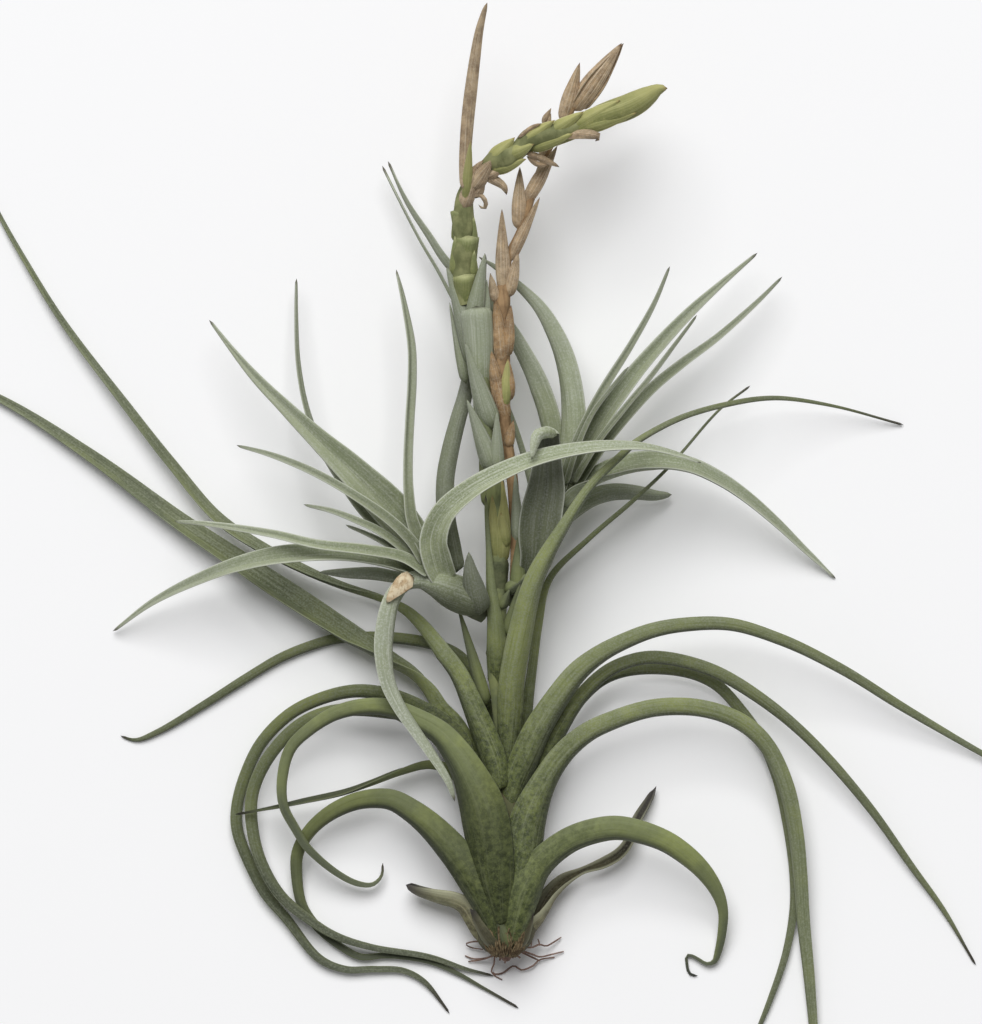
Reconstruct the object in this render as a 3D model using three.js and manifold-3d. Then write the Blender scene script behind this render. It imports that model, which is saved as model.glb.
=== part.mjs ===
// An air plant lying on its side: a mother rosette with a bulbous base, two offsets on its
// flower stalk, a green and a dried flower spike, and its roots.
// Millimetres, +Z up. The surface that it lies on is z = 0 and the flower stalk runs along +Y.
// Routes are measured from the stem's foot, and the plant is then moved so that the origin
// is the flat spot under the bulb where it rests.
import * as THREE from 'three';
import { mergeVertices } from 'three/addons/utils/BufferGeometryUtils.js';
import Module from 'manifold-3d';

const wasm = await Module();
wasm.setup();

// Driving dimensions
const clearance = 0.3;
const slightestDetail = 0.02;
const weldDistance = 1e-4;
const bulbRadius = 12.6;
const bulbSides = 12;
const restSpotY = 26;
const bulbProfile = [
  [0, -1.6], [5, -1.2], [8.6, 4], [bulbRadius, 18], [bulbRadius, 34], [10.5, 46], [6.5, 55], [0, 59],
];
const leafTipThickness = 0.85;
const tipWidth = 1;
const tightestInnerRadius = 0.05;
const mostWidening = 1.7;
const stepsPerStretch = 2;
const mostLeafSteps = 24;
const stemSides = 8;
const thinStemSides = 6;
const rootSides = 4;
const leafRoughness = 0.65;

const tints = {
  motherLeaf: 0x6f7f4c,
  witheredLeaf: 0x8a8264,
  offsetLeaf: 0x8c9a78,
  stem: 0x77824f,
  greenSpike: 0x9aa653,
  driedBract: 0xb08f6c,
  root: 0x7a4a3a,
};

// A leaf's route lists the middle of its section from base to tip as [x, y, z, width].
// `roll` is where its channel opens: degrees from straight up, clockwise for someone who
// looks along the leaf. `curl` is the angle of the arc that the section bends through.
// Both are spread evenly from base to tip.
const motherLeaves = [
  {
    name: 'mother_leaf_lower_right', thickness: 1.4,
    roll: [-150, -150, -75, -55, -55, -60, -60], curl: [110, 150, 150, 130],
    route: [
      [2, 6, 22, 9], [7, 17, 23.5, 13], [14, 28, 22.5, 12], [24.5, 37, 22.5, 10.5], [34, 40.5, 22.5, 9.7],
      [42, 41, 22, 9], [56, 37, 20.5, 7.9], [64, 32, 18.5, 7.2], [71, 25, 15, 6.2], [76, 17, 11, 5],
      [78.5, 7, 7, 3.6], [77.5, -1, 4, 2.8], [75, -7, 2.2, 2], [72, -8.5, 1.6, 1.6], [68, -5.8, 1.3, 1.4],
      [65.5, -6.5, 1, 1.3], [66, -10.5, 0.8, 1.2], [69.5, -13, 0.7, 1],
    ],
  },
  {
    name: 'mother_leaf_lower_left', thickness: 1.4,
    roll: [146, 120, 70, 60, 60, 60, 60], curl: [110, 160, 150, 110],
    route: [
      [-4, 8, 21.5, 9], [-8, 15, 23, 12.5], [-12.5, 24, 22, 12.5], [-18, 32, 21, 11.5], [-26, 41, 20.5, 10],
      [-33.5, 47, 19.5, 8.5], [-41, 51, 18, 7.5], [-51, 51, 16, 6.5], [-61.5, 47, 13.5, 5.5],
      [-70, 40, 10, 4.6],
      [-74.5, 32, 7, 4.2], [-75, 24, 5, 3.8], [-73, 12.5, 3, 3.2], [-67, 4, 1.8, 2.8], [-59, -2.5, 1, 2.4],
      [-52, -6, 0.8, 2.2], [-43.5, -5.5, 0.7, 2], [-36, -6, 0.6, 2], [-26, -8, 0.6, 1.8],
      [-17, -12, 0.6, 1.6],
      [-6.5, -18, 0.6, 1.3], [5, -24.5, 0.6, 1],
    ],
  },
  {
    name: 'mother_leaf_front', thickness: 1.4,
    roll: [180, 165, 115, 62, 58, 60, 60], curl: [90, 130, 160, 110],
    route: [
      [-2.5, 9, 24, 8], [-2.5, 20, 26.2, 15], [-3, 34, 26.6, 18], [-5, 50, 26, 15], [-12, 66, 25, 11],
      [-21.5, 74.5, 25, 9], [-33.5, 81, 24.5, 7.4], [-41, 84, 24, 6.6], [-51, 84.5, 23.5, 5.8],
      [-61, 82, 22.5, 5], [-70.5, 76, 21.5, 4.4], [-77, 69.5, 20.5, 4], [-80, 59, 19, 3.6],
      [-79.5, 49, 17, 3.2],
      [-75, 40, 14, 2.9], [-71, 33.5, 12, 2.6], [-61.5, 25, 8, 2.2], [-53, 20.5, 5.5, 1.9],
      [-47.5, 20.2, 4.5, 1.6],
      [-44.3, 23.5, 4, 1.3], [-44, 28, 4, 1],
    ],
  },
  {
    name: 'mother_leaf_right_front', thickness: 1.4,
    roll: [-145, -140, -100, -58, -55, -60, -60], curl: [100, 150, 150, 110],
    route: [
      [6, 20, 22, 10], [9, 32, 23, 14], [10.5, 46, 23, 13], [14.5, 58, 22.5, 9.5], [21, 68, 22.5, 8],
      [29, 75, 23, 7.2], [37, 79, 23, 6.8], [53.5, 84, 22, 6.2], [70, 84, 20.5, 6], [84.5, 79, 18.5, 5.8],
      [94, 70.5, 16, 5.6], [101, 56, 12.5, 5.4], [104.5, 40, 9.5, 5], [106.5, 23, 7.5, 4.6],
      [107.5, 6, 5.5, 4.2],
      [109.5, -14, 4, 3.7], [111, -32, 2.5, 3], [112, -49, 1.5, 2], [113, -65, 0.7, 1],
    ],
  },
  {
    name: 'mother_leaf_far_right', thickness: 1.4,
    roll: [-165, -150, -95, -65, -60, -60], curl: [110, 150, 150, 110],
    route: [
      [1.5, 48, 19.5, 7], [4, 58, 20.5, 9.5], [7.5, 67, 21.5, 10.5], [11.5, 76, 22.5, 10],
      [18, 86.5, 24, 8.8],
      [26, 97, 25.5, 7.6], [34, 103.5, 27, 6.6], [42.5, 108, 28, 5.9], [53, 112, 28.5, 5.4],
      [64.5, 114, 28, 5],
      [81, 114, 26, 4.5], [98, 109, 21.5, 4], [120, 99, 15, 3.5], [142, 86, 9, 3], [172, 69, 3, 2],
      [200, 54, 0.7, 1],
    ],
  },
  {
    name: 'mother_leaf_front_far_left', thickness: 1.4,
    roll: [180, 150, 110, 75, 60, 60], curl: [110, 150, 150, 110],
    route: [
      [-2.5, 54, 22.5, 8], [-4, 64, 22.8, 9.5], [-8, 76, 22.8, 9.8], [-12, 86, 22.5, 9.4],
      [-16.5, 96, 21.5, 8.6],
      [-22, 104, 20, 7.6], [-31, 115, 15, 6.6], [-37, 120, 12, 6], [-45, 123.5, 10.5, 5.6],
      [-59, 128, 9, 5.3],
      [-74, 134.5, 8.5, 5.2], [-88, 142, 8, 5.2], [-104, 153, 7, 5], [-121, 173, 6, 4.2],
      [-142, 200, 5, 3.3],
      [-160, 224, 3.5, 2.5], [-182, 261, 1.5, 1.5], [-187, 272, 0.7, 1],
    ],
  },
  {
    name: 'mother_leaf_beside_stalk', thickness: 1.4,
    roll: [180, -175, -165, -140, -110, -80, -70], curl: [110, 130, 150, 150, 100],
    route: [
      [1, 71, 18.6, 7], [1.4, 77, 20, 8.6], [1.8, 84, 22, 9.4], [2.4, 93.5, 26, 9.3], [5.5, 111, 33, 9],
      [10.5, 130, 40, 8.8], [21, 149.5, 44, 6.2], [30.5, 163.5, 42.5, 4.6], [41.5, 174.5, 39, 3.7],
      [46.5, 179, 37, 3.4], [63.5, 188, 31, 2.9], [80.5, 193, 25, 2.6], [97.5, 195, 18, 2.3],
      [119, 192, 9, 1.8],
      [143.5, 185.5, 0.7, 1],
    ],
  },
  {
    name: 'mother_leaf_far_left', thickness: 1.3,
    roll: [150, 110, 75, 60, 60, 60], curl: [120, 150, 120, 100],
    route: [
      [-7, 52, 14, 6], [-12, 67, 13, 7], [-18, 78, 12, 6.6], [-23, 84, 11, 6], [-27, 90.5, 10.4, 5.8],
      [-33, 96.6, 10, 5.2], [-40, 101, 9.4, 5.6], [-50, 107.5, 8.8, 6.4], [-61, 114.3, 8.2, 7.4],
      [-74, 122.5, 7.4, 8.2], [-88, 131.5, 6.6, 8],
      [-117, 151, 5, 6.4], [-149, 174.5, 3.5, 4.6], [-182, 195, 2, 2.8], [-218, 209, 0.7, 1],
    ],
  },
  {
    name: 'mother_leaf_outer_left_arc', thickness: 1.2,
    roll: [140, 110, 65, 60, 60, 60, 60], curl: [120, 150, 150, 110],
    route: [
      [-11, 54, 19, 6], [-16, 72, 18, 6.6], [-21, 79, 17.5, 6], [-28, 85, 16.5, 5.4],
      [-37.5, 89.5, 14.5, 5],
      [-46, 91.5, 12.5, 4.8], [-55, 92, 10.5, 4.6], [-66.5, 89, 8, 4.4], [-77.5, 83, 6, 4.2],
      [-87.5, 72, 4.6, 4],
      [-93.5, 59.5, 3.9, 4], [-96.5, 48.5, 3.4, 3.9], [-96.5, 40, 3, 3.8], [-92.5, 28.5, 2.6, 3.6],
      [-86.5, 17, 2.3, 3.4], [-79, 8, 2, 3.1], [-67, -6.5, 1.3, 2.7], [-57.5, -10.5, 1, 2.4],
      [-47, -10.5, 0.8, 2.2],
      [-36.5, -11, 0.7, 2], [-29, -15, 0.6, 1.8], [-20, -26.5, 0.6, 1],
    ],
  },
  {
    name: 'mother_leaf_second_left_arc', thickness: 1.2,
    roll: [130, 100, 65, 60, 60, 60, 60], curl: [120, 150, 150, 110],
    route: [
      [-11.5, 48, 14, 5.5], [-16, 63, 11.5, 5.5], [-24, 74, 10.5, 5.2], [-33, 80.5, 11, 5],
      [-43, 83.5, 12, 4.8],
      [-53, 84.5, 12.4, 4.6], [-62, 83.5, 12.2, 4.5], [-71, 79.5, 11.4, 4.4], [-79, 73.5, 10.4, 4.3],
      [-87, 63, 9, 4.3], [-91, 52.5, 8, 4.2], [-91, 41, 7.6, 4], [-88, 28.5, 7.4, 3.7],
      [-81, 16.5, 7.2, 3.4],
      [-71, 8, 6.9, 3], [-61.5, 2, 5.9, 2.6], [-48, -2.5, 4.3, 2.2], [-27, -6, 3, 1.9],
      [-13.5, -10.5, 1.6, 1.4],
      [-4, -13, 0.7, 1],
    ],
  },
  {
    name: 'mother_leaf_back_left', thickness: 1.1,
    roll: [90, 80, 60, 55, 50], curl: [120, 150, 150, 120],
    route: [
      [-12, 46, 8, 5], [-14, 54, 7.6, 6], [-19, 61, 7.6, 5.6], [-27, 64, 8.2, 5], [-37.5, 61.5, 9.6, 4.6],
      [-48, 57.5, 11, 4.2], [-58, 54, 12, 3.8], [-72, 51, 12.8, 3], [-82.5, 48.5, 12.8, 2.4],
      [-97, 45.5, 11.5, 1],
    ],
  },
  {
    name: 'mother_leaf_right_second', thickness: 1.2,
    roll: [-140, -100, -65, -60, -60, -60], curl: [120, 150, 150, 110],
    route: [
      [8, 50, 14.5, 6], [13, 63, 15, 6.5], [20, 77, 15.6, 6], [26, 86.5, 16, 5.4], [34.5, 95.5, 16.5, 5],
      [41, 99.5, 17, 4.8], [50, 102, 17, 4.7], [60, 101.5, 16.6, 4.6], [75.5, 97, 15.2, 4.4],
      [92, 87, 12.6, 4],
      [109, 73, 10, 3.5], [131, 48, 6, 2.9], [147.5, 25, 3, 2.3], [159, 9, 1.6, 1.7], [169.5, -9, 0.6, 1],
    ],
  },
  {
    name: 'mother_leaf_right_third', thickness: 1.2,
    roll: [-120, -85, -65, -60, -60, -60], curl: [120, 150, 150, 110],
    route: [
      [8, 48, 8.5, 6], [14, 62, 8.5, 5.8], [20, 77, 8.6, 5], [31, 91, 8.8, 4.6], [38, 95.5, 9, 4.4],
      [48, 97.8, 9, 4.3], [64.5, 97, 8.4, 4.2], [75.5, 92.5, 7.4, 4], [84.5, 83.5, 5.8, 3.8],
      [92, 73, 4.2, 3.6],
      [98, 58, 2.8, 3.4], [102, 40, 2.2, 3.2], [104, 24, 1.8, 3], [104, 12, 1.5, 2.8], [101, -5, 1.2, 2.4],
      [95.5, -21.5, 0.9, 1.9], [92, -30, 0.8, 1.6], [84.5, -47, 0.6, 1],
    ],
  },
  {
    name: 'mother_leaf_back_far_left', thickness: 1.1,
    roll: [160, 110, 70, 55, 50, 50], curl: [120, 150, 150, 120],
    route: [
      [-4, 54, 8.5, 5], [-5, 68, 8.3, 5], [-6, 80, 8, 4.8], [-10, 94, 7.2, 4.4], [-16, 102, 6.4, 4.2],
      [-24, 106, 5.2, 4.1], [-37, 108.5, 3.8, 4], [-49, 109.2, 2.8, 3.8], [-61, 108.5, 2.2, 3.6],
      [-70, 106, 2, 3.4],
      [-81, 101.5, 1.9, 3.2], [-93, 94.5, 1.8, 3], [-109, 84.5, 1.4, 2.6], [-125, 75, 1, 2],
      [-133, 72, 0.7, 1.5],
      [-138.5, 73.5, 0.6, 1],
    ],
  },
  {
    name: 'mother_leaf_behind_stalk', thickness: 1.1,
    roll: [-150, -140, -120, -90, -80], curl: [120, 140, 140, 110],
    route: [
      [4.5, 52, 7.5, 5], [6, 66, 6.6, 5], [7.5, 80, 8, 4.4], [9.5, 96, 10, 3.6], [12, 114, 12, 3.2],
      [16, 130, 14, 3], [29.5, 144, 16.4, 2.6], [45, 157.5, 19.4, 2.3], [57.5, 169, 20, 2.1],
      [63.5, 175.5, 19.4, 1.9],
      [77, 191, 17, 1.5], [88, 199.5, 14, 1],
    ],
  },
];

const witheredLeaves = [
  {
    name: 'withered_leaf_right', thickness: 1.1,
    roll: [-110, -60, -30, -20, -40], curl: [150, 170, 120, 140],
    route: [
      [9, 3, 8.5, 5], [12, 9, 8.2, 5.6], [15.5, 16.5, 7.6, 5.4], [21, 22, 7, 4.4], [27.5, 25.2, 6.4, 2.4],
      [35, 28, 6, 3.6], [41, 31.5, 5.4, 3.8], [44.5, 36, 5, 3.4], [47, 43, 4.4, 3.3],
      [51.5, 50.5, 3.4, 2.4],
      [54.5, 55.5, 2.6, 1],
    ],
  },
  {
    name: 'withered_leaf_left', thickness: 1.1, roll: [110, 60, 30, 10], curl: [150, 180, 170, 90],
    route: [
      [-8, 3, 10.5, 6], [-11.5, 8, 10.5, 6.4], [-14, 12.5, 10.5, 6.2], [-18, 14.8, 10, 5.8],
      [-23.5, 16, 9.4, 5.4],
      [-30.5, 18, 9, 4.8], [-35.5, 20.5, 9, 3.6],
    ],
  },
];

const leftOffsetLeaves = [
  {
    name: 'left_offset_leaf_front_arch', thickness: 1.2,
    roll: [10, -10, -35, -45, -45, -50], curl: [90, 110, 120, 100],
    route: [
      [-21, 129, 37, 9], [-24, 136, 41.5, 10.5], [-25.5, 144, 45, 10], [-22, 153.5, 48, 8.6],
      [-12, 162.5, 50.5, 7.2],
      [-1.5, 168.5, 51.5, 6.3], [11, 173.5, 51.5, 5.5], [27.5, 177, 50, 4.4], [41.5, 178, 47.5, 3.4],
      [51, 177.3, 45, 2.5], [63.5, 174, 41, 1.6], [70, 171.5, 39, 1],
    ],
  },
  {
    name: 'left_offset_leaf_drooping', thickness: 1.2,
    roll: [-20, 150, 110, 80, 75, 75], curl: [90, 130, 140, 120],
    route: [
      [-11, 118, 30.5, 8], [-18, 121.5, 32.5, 9], [-27, 127, 34.5, 8], [-34, 129, 35.5, 6.6],
      [-40, 126, 35.5, 5.8],
      [-43.5, 118, 34.5, 6], [-44.3, 106, 33, 6.2], [-42.5, 93.5, 32, 5.2], [-36.5, 81, 31.8, 4.2],
      [-29, 68.5, 31, 3.8], [-21.5, 57.5, 30.5, 3.2], [-17.5, 50, 29.5, 1.8],
    ],
  },
  {
    name: 'left_offset_leaf_broad', thickness: 1.2, roll: [30, 10, 5, 0], curl: [80, 75, 80, 90],
    route: [
      [-24, 135, 33, 8], [-32.5, 145, 34, 12], [-42, 156.5, 34.5, 13.4], [-53.5, 168, 35, 11],
      [-65.5, 179, 34, 7.9],
      [-78, 191, 31, 5.4], [-88, 201, 27, 3.9], [-97.5, 212, 22, 2.2], [-106, 223, 17, 1],
    ],
  },
  {
    name: 'left_offset_leaf_behind_broad', thickness: 1.0, roll: [60, 40, 30], curl: [120, 120, 100],
    route: [
      [-24.5, 131.5, 30, 3.6], [-30, 137, 26, 4], [-38, 144, 24.5, 3.6], [-49, 152.5, 23.5, 3],
      [-58, 164, 22, 2.6], [-65.5, 176.5, 20.5, 2.4],
      [-71, 191, 18.5, 2.1], [-74, 207, 16, 1.8], [-75, 225, 12, 1.4], [-75, 238, 9, 1],
    ],
  },
  {
    name: 'left_offset_leaf_upright', thickness: 1.1, roll: [20, 10, 30, 40], curl: [110, 140, 140, 110],
    route: [
      [-26, 136.5, 38, 5.5], [-29.5, 143, 40, 5], [-33, 151, 41, 4.4], [-34.5, 162.5, 40, 3.7],
      [-34.7, 174, 38, 3.4],
      [-34, 187, 35.5, 3.3], [-33.2, 201.5, 32, 3.2], [-33.4, 214, 29, 2.9], [-36, 228.5, 24, 2],
      [-39, 241, 20, 1],
    ],
  },
  {
    name: 'left_offset_leaf_upper_left', thickness: 1.0, roll: [20, 20, 30], curl: [110, 140, 110],
    route: [
      [-28, 135.5, 39.5, 4.6], [-33, 143.5, 41.8, 4.2], [-40, 150.5, 42.6, 3.8], [-52, 159, 42.2, 3.3],
      [-67.5, 168, 39, 2.9], [-83.5, 174.5, 34, 2.1], [-96, 178, 29, 1],
    ],
  },
  {
    name: 'left_offset_leaf_left_short', thickness: 1.0, roll: [30, 20, 20], curl: [110, 130, 110],
    route: [
      [-28, 133.5, 38.5, 3.6], [-36, 141, 40, 3.2], [-45, 147.5, 40, 2.9], [-52, 150.8, 39.5, 2.6],
      [-61.5, 154.5, 37.5, 2],
      [-72, 156.8, 34, 1],
    ],
  },
  {
    name: 'left_offset_leaf_left_shortest', thickness: 1.0, roll: [20, 20], curl: [100, 100],
    route: [
      [-29, 133.5, 35, 3], [-36, 139, 36, 2.6], [-43, 143, 36, 2.2], [-50, 146.6, 35.5, 1.6],
      [-57, 149.5, 34.5, 1],
    ],
  },
  {
    name: 'left_offset_leaf_left_long', thickness: 1.1, roll: [40, 30, 20, 20], curl: [110, 140, 130, 100],
    route: [
      [-26.5, 132, 40, 4.2], [-36, 138, 41.6, 4], [-50, 140.8, 41, 3.8], [-67.5, 142.8, 38, 3.4],
      [-83.5, 146.5, 34, 3],
      [-107, 150, 26.5, 1.9], [-118.5, 150.7, 22, 1],
    ],
  },
  {
    name: 'left_offset_leaf_far_left', thickness: 1.1, roll: [60, 40, 30, 30], curl: [110, 120, 110, 100],
    route: [
      [-27, 130.5, 35, 4.6], [-36, 135.5, 35, 5.2], [-46, 138.2, 34.5, 5.8], [-59.5, 140, 33.5, 6.2],
      [-80, 139, 31, 6.4],
      [-96, 135.5, 27, 5.4], [-111.5, 129.5, 20.5, 4], [-127, 121.5, 12, 2.4], [-141, 111, 2.5, 1],
    ],
  },
  {
    name: 'left_offset_leaf_grey_under', thickness: 1.0, roll: [180, 180, 180], curl: [90, 100, 90],
    route: [
      [-24.5, 129.5, 31, 3], [-29, 129.5, 28.6, 3.8], [-38, 130.5, 27, 4.4], [-46.5, 132, 25.5, 4.8],
      [-57.5, 132.3, 23, 3.6], [-66.5, 132.6, 20, 1],
    ],
  },
  {
    name: 'left_offset_leaf_behind_stalk', thickness: 1.1,
    roll: [160, 170, 180, 180], curl: [100, 120, 130, 110],
    route: [
      [-17, 132.5, 31.5, 6], [-19, 141, 33, 6.6], [-21, 152, 34, 6.6], [-21.3, 165.5, 33, 6.6],
      [-19.5, 176.5, 31, 6.4],
      [-17, 186.5, 27.5, 6], [-14, 197.5, 24, 5.4], [-9.5, 222, 20.5, 4], [-7, 246.5, 18, 1],
    ],
  },
  {
    name: 'left_offset_leaf_small_front', thickness: 1.1, roll: [180, 180], curl: [110, 100],
    route: [[-12, 122.5, 35, 7], [-12, 128, 36.6, 7.2], [-12.6, 134, 38, 4.6], [-13, 140, 39.2, 1]],
  },
];

const rightOffsetLeaves = [
  {
    name: 'right_offset_leaf_cup', thickness: 1.2, sideways: [1, 0, 0], curl: [110, 120, 120, 120, 60, 60],
    route: [
      [12, 139, 34, 12], [12, 146, 35.5, 14.6], [13, 154, 36.5, 15], [14.5, 162, 37, 13.6],
      [15, 170, 37.4, 10.8],
      [15.2, 177, 38.5, 8.4], [15, 182.5, 42.5, 7.6], [14, 184.5, 48.5, 7.2], [12.5, 181.5, 54, 5.5],
      [10.5, 176, 56, 3.4], [8.5, 171.5, 56, 1],
    ],
  },
  {
    name: 'right_offset_leaf_arch_right', thickness: 1.2,
    roll: [-100, -60, -45, -45, -50], curl: [100, 120, 130, 110],
    route: [
      [20, 156.5, 30, 7], [26, 163, 30.5, 7.4], [34, 168.2, 30.5, 7.2], [45, 172, 29, 6.8],
      [55, 173, 27.5, 6.2],
      [66.5, 171, 25.5, 5.4], [76.5, 166.5, 22, 4.8], [85, 161, 18.5, 4.2], [97.5, 150.5, 11.5, 3.2],
      [108, 140.5, 5.5, 2.2], [119, 130, 0.6, 1],
    ],
  },
  {
    name: 'right_offset_leaf_curved_up', thickness: 1.2,
    roll: [170, 165, 150, 130, 120, 110], curl: [90, 110, 120, 110],
    route: [
      [18.5, 151, 27, 7], [20, 160, 28, 8.2], [22.3, 168, 28.6, 8.8], [24.2, 180, 28.6, 8.8],
      [24.6, 190, 28, 8.6],
      [23.5, 200.5, 27.2, 7.8], [21, 211, 26.4, 6.6], [17.5, 219.5, 25.8, 5.4], [12.5, 227.5, 25, 4.4],
      [4.5, 235.5, 24, 3.1], [-3, 241.5, 23, 2.1], [-9.5, 245.5, 22.4, 1],
    ],
  },
  {
    name: 'right_offset_leaf_crossing_behind', thickness: 1.1,
    roll: [160, 140, 120, 100, 90], curl: [110, 130, 130, 110],
    route: [
      [14.5, 152, 22, 6], [16.5, 165, 23, 7], [17.5, 179, 23, 7.2], [16, 189, 22.4, 7],
      [12.5, 200, 21.6, 6.4],
      [7, 211, 20.6, 5.6], [1, 220.5, 19.6, 5], [-9, 232, 18.4, 4.3], [-21, 244, 17.4, 3.7],
      [-27, 253, 16.6, 3.2],
      [-34.5, 264.5, 15.4, 2.4], [-42, 280, 14, 1],
    ],
  },
  {
    name: 'right_offset_leaf_crossing_thin', thickness: 1.0, roll: [160, 120, 90], curl: [110, 110, 100],
    route: [
      [13.5, 145, 24, 3.4], [12, 151.5, 19.5, 3.4], [9, 166, 17.6, 2.6], [3.5, 185, 16.2, 2],
      [-4, 202, 15, 1.8], [-11.5, 217, 14, 1.7],
      [-18, 229.5, 13.2, 1.6], [-23.5, 240, 12.6, 1.6], [-30, 251, 12, 1.5], [-36, 262.5, 11.4, 1.3],
      [-44, 278.5, 10.5, 1],
    ],
  },
  {
    name: 'right_offset_leaf_fan_first', thickness: 1.0, roll: [-20, -10, 0], curl: [110, 130, 110],
    route: [
      [19.5, 160, 31.5, 3.6], [22.5, 171, 33, 3.6], [27, 182.5, 33.6, 3.4], [34.5, 197, 33.4, 3.2],
      [45, 214, 32, 2.6],
      [53, 228, 29.5, 1.9], [59, 242, 26, 1],
    ],
  },
  {
    name: 'right_offset_leaf_fan_broad', thickness: 1.1,
    roll: [-30, -20, -10, -10], curl: [100, 120, 120, 100],
    route: [
      [21.5, 160, 28.5, 4.6], [25, 171, 29.5, 5.8], [31, 182.5, 30, 6.6], [40.5, 196.5, 29.8, 6.4],
      [51, 209.5, 28.5, 5.4],
      [63.5, 223, 26, 4.2], [76.5, 235, 22.5, 2.6], [90.5, 247, 18, 1],
    ],
  },
  {
    name: 'right_offset_leaf_fan_right', thickness: 1.0, roll: [-40, -30, -20], curl: [110, 130, 110],
    route: [
      [24, 161.5, 26, 4], [29.5, 170.5, 26.6, 4.4], [38, 182.5, 26.6, 4.4], [51, 197, 25.4, 4],
      [63.5, 207.5, 23.2, 3.4],
      [76.5, 217, 20, 2.7], [89, 228, 16.5, 1.9], [99.5, 238.5, 13, 1],
    ],
  },
  {
    name: 'right_offset_leaf_fan_thin', thickness: 1.0, roll: [-20, -10], curl: [110, 110],
    route: [
      [24, 164, 32.6, 2.4], [29, 172.5, 34, 2.4], [34.5, 181, 34.8, 2.3], [42.5, 191, 35, 2.2],
      [52.5, 203, 34.4, 1.9],
      [61, 214.5, 33, 1.5], [68.5, 224.5, 31, 1],
    ],
  },
  {
    name: 'right_offset_leaf_fan_short', thickness: 1.0, roll: [-20, -10], curl: [110, 100],
    route: [
      [21.5, 163.5, 34, 2.2], [25.5, 177, 37.2, 2], [31, 189, 37.8, 1.8], [38, 198.5, 37.2, 1.5],
      [44, 206, 36, 1],
    ],
  },
  {
    name: 'right_offset_leaf_short_curled', thickness: 1.2,
    roll: [-120, -140, -160, 170], curl: [110, 130, 130, 90],
    route: [
      [19, 150, 24, 6], [25, 155.5, 21, 6.8], [31.5, 159.4, 17, 6.6], [38.5, 161.2, 13.6, 6.4],
      [47, 161, 10, 5.4],
      [54, 160, 6, 4], [60, 160.3, 2.4, 1.6],
    ],
  },
];

// Round stems list [x, y, z, radius].
const flowerStalkRoute = [
  [-0.5, 57, 13, 2.6], [-0.6, 70, 14, 2.8], [-0.8, 86, 17, 3], [-2, 100, 20.5, 3.1], [-3, 112, 25, 3.3],
  [-3, 122, 28, 3.6],
  [-3.6, 137, 31, 3.4], [-4.3, 151, 33, 3.3], [-5.4, 165.5, 34.5, 3.3], [-7.6, 183, 35.5, 3.2],
  [-8.6, 201, 36, 3.2],
  [-9.8, 216, 36, 3.2], [-11.6, 226, 36, 2.8], [-12.6, 231, 36, 2.2],
];
const greenSpikeRoute = [
  [-14, 231.5, 36.5, 2.6], [-14.8, 240.5, 37, 3.9], [-14.9, 246, 37.3, 3.5], [-14.9, 251, 37.8, 3.9],
  [-14.9, 257, 38.4, 4.1], [-14.4, 264, 39.2, 3.7], [-12.4, 269.5, 40.2, 2.9], [-9.4, 274.3, 41.4, 3],
  [-4.6, 278, 43, 4], [1.8, 281, 44.6, 4.3], [9, 284.4, 46, 3.9], [16, 286.8, 46.8, 3.8],
  [24, 290.3, 47, 3.4],
  [32.6, 294.6, 46.8, 3.6], [41.2, 298.8, 46.4, 3.9], [49, 302, 46, 3], [57.5, 305.2, 45.4, 0.6],
];
const driedSpikeRoute = [
  [3.4, 126.5, 27.5, 2.2], [3.8, 137, 30, 2.3], [3.6, 148, 32, 2.2], [2.5, 165.5, 33, 2.2],
  [0.6, 180, 33.4, 2.2],
  [-0.8, 194, 33.6, 2.4], [-1.6, 214, 33.8, 2.6], [-1.4, 227.5, 34, 2.4], [0.4, 236, 34, 2],
  [2.8, 245, 34, 1.7],
  [5.8, 255, 34, 1.5], [9, 265.5, 34, 1.4], [12.4, 276, 34, 1.3], [15.3, 283, 34.2, 1.2],
  [19.6, 292, 35, 1.1],
  [23.2, 297.4, 36, 1],
];
const leftOffsetStemRoute = [
  [-7.4, 116.5, 27.5, 3], [-12, 120, 29.5, 4.6], [-18, 126, 32, 5.4], [-23, 131.5, 34, 5],
  [-26, 134, 35.5, 3],
];
const rightOffsetStemRoute = [
  [2, 120.5, 24, 2.6], [7, 130, 26, 4.6], [12, 141, 27.4, 6], [16.5, 151, 28.6, 5.6], [20.5, 160, 30, 4],
  [22.5, 164.5, 31, 2.4],
];

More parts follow.
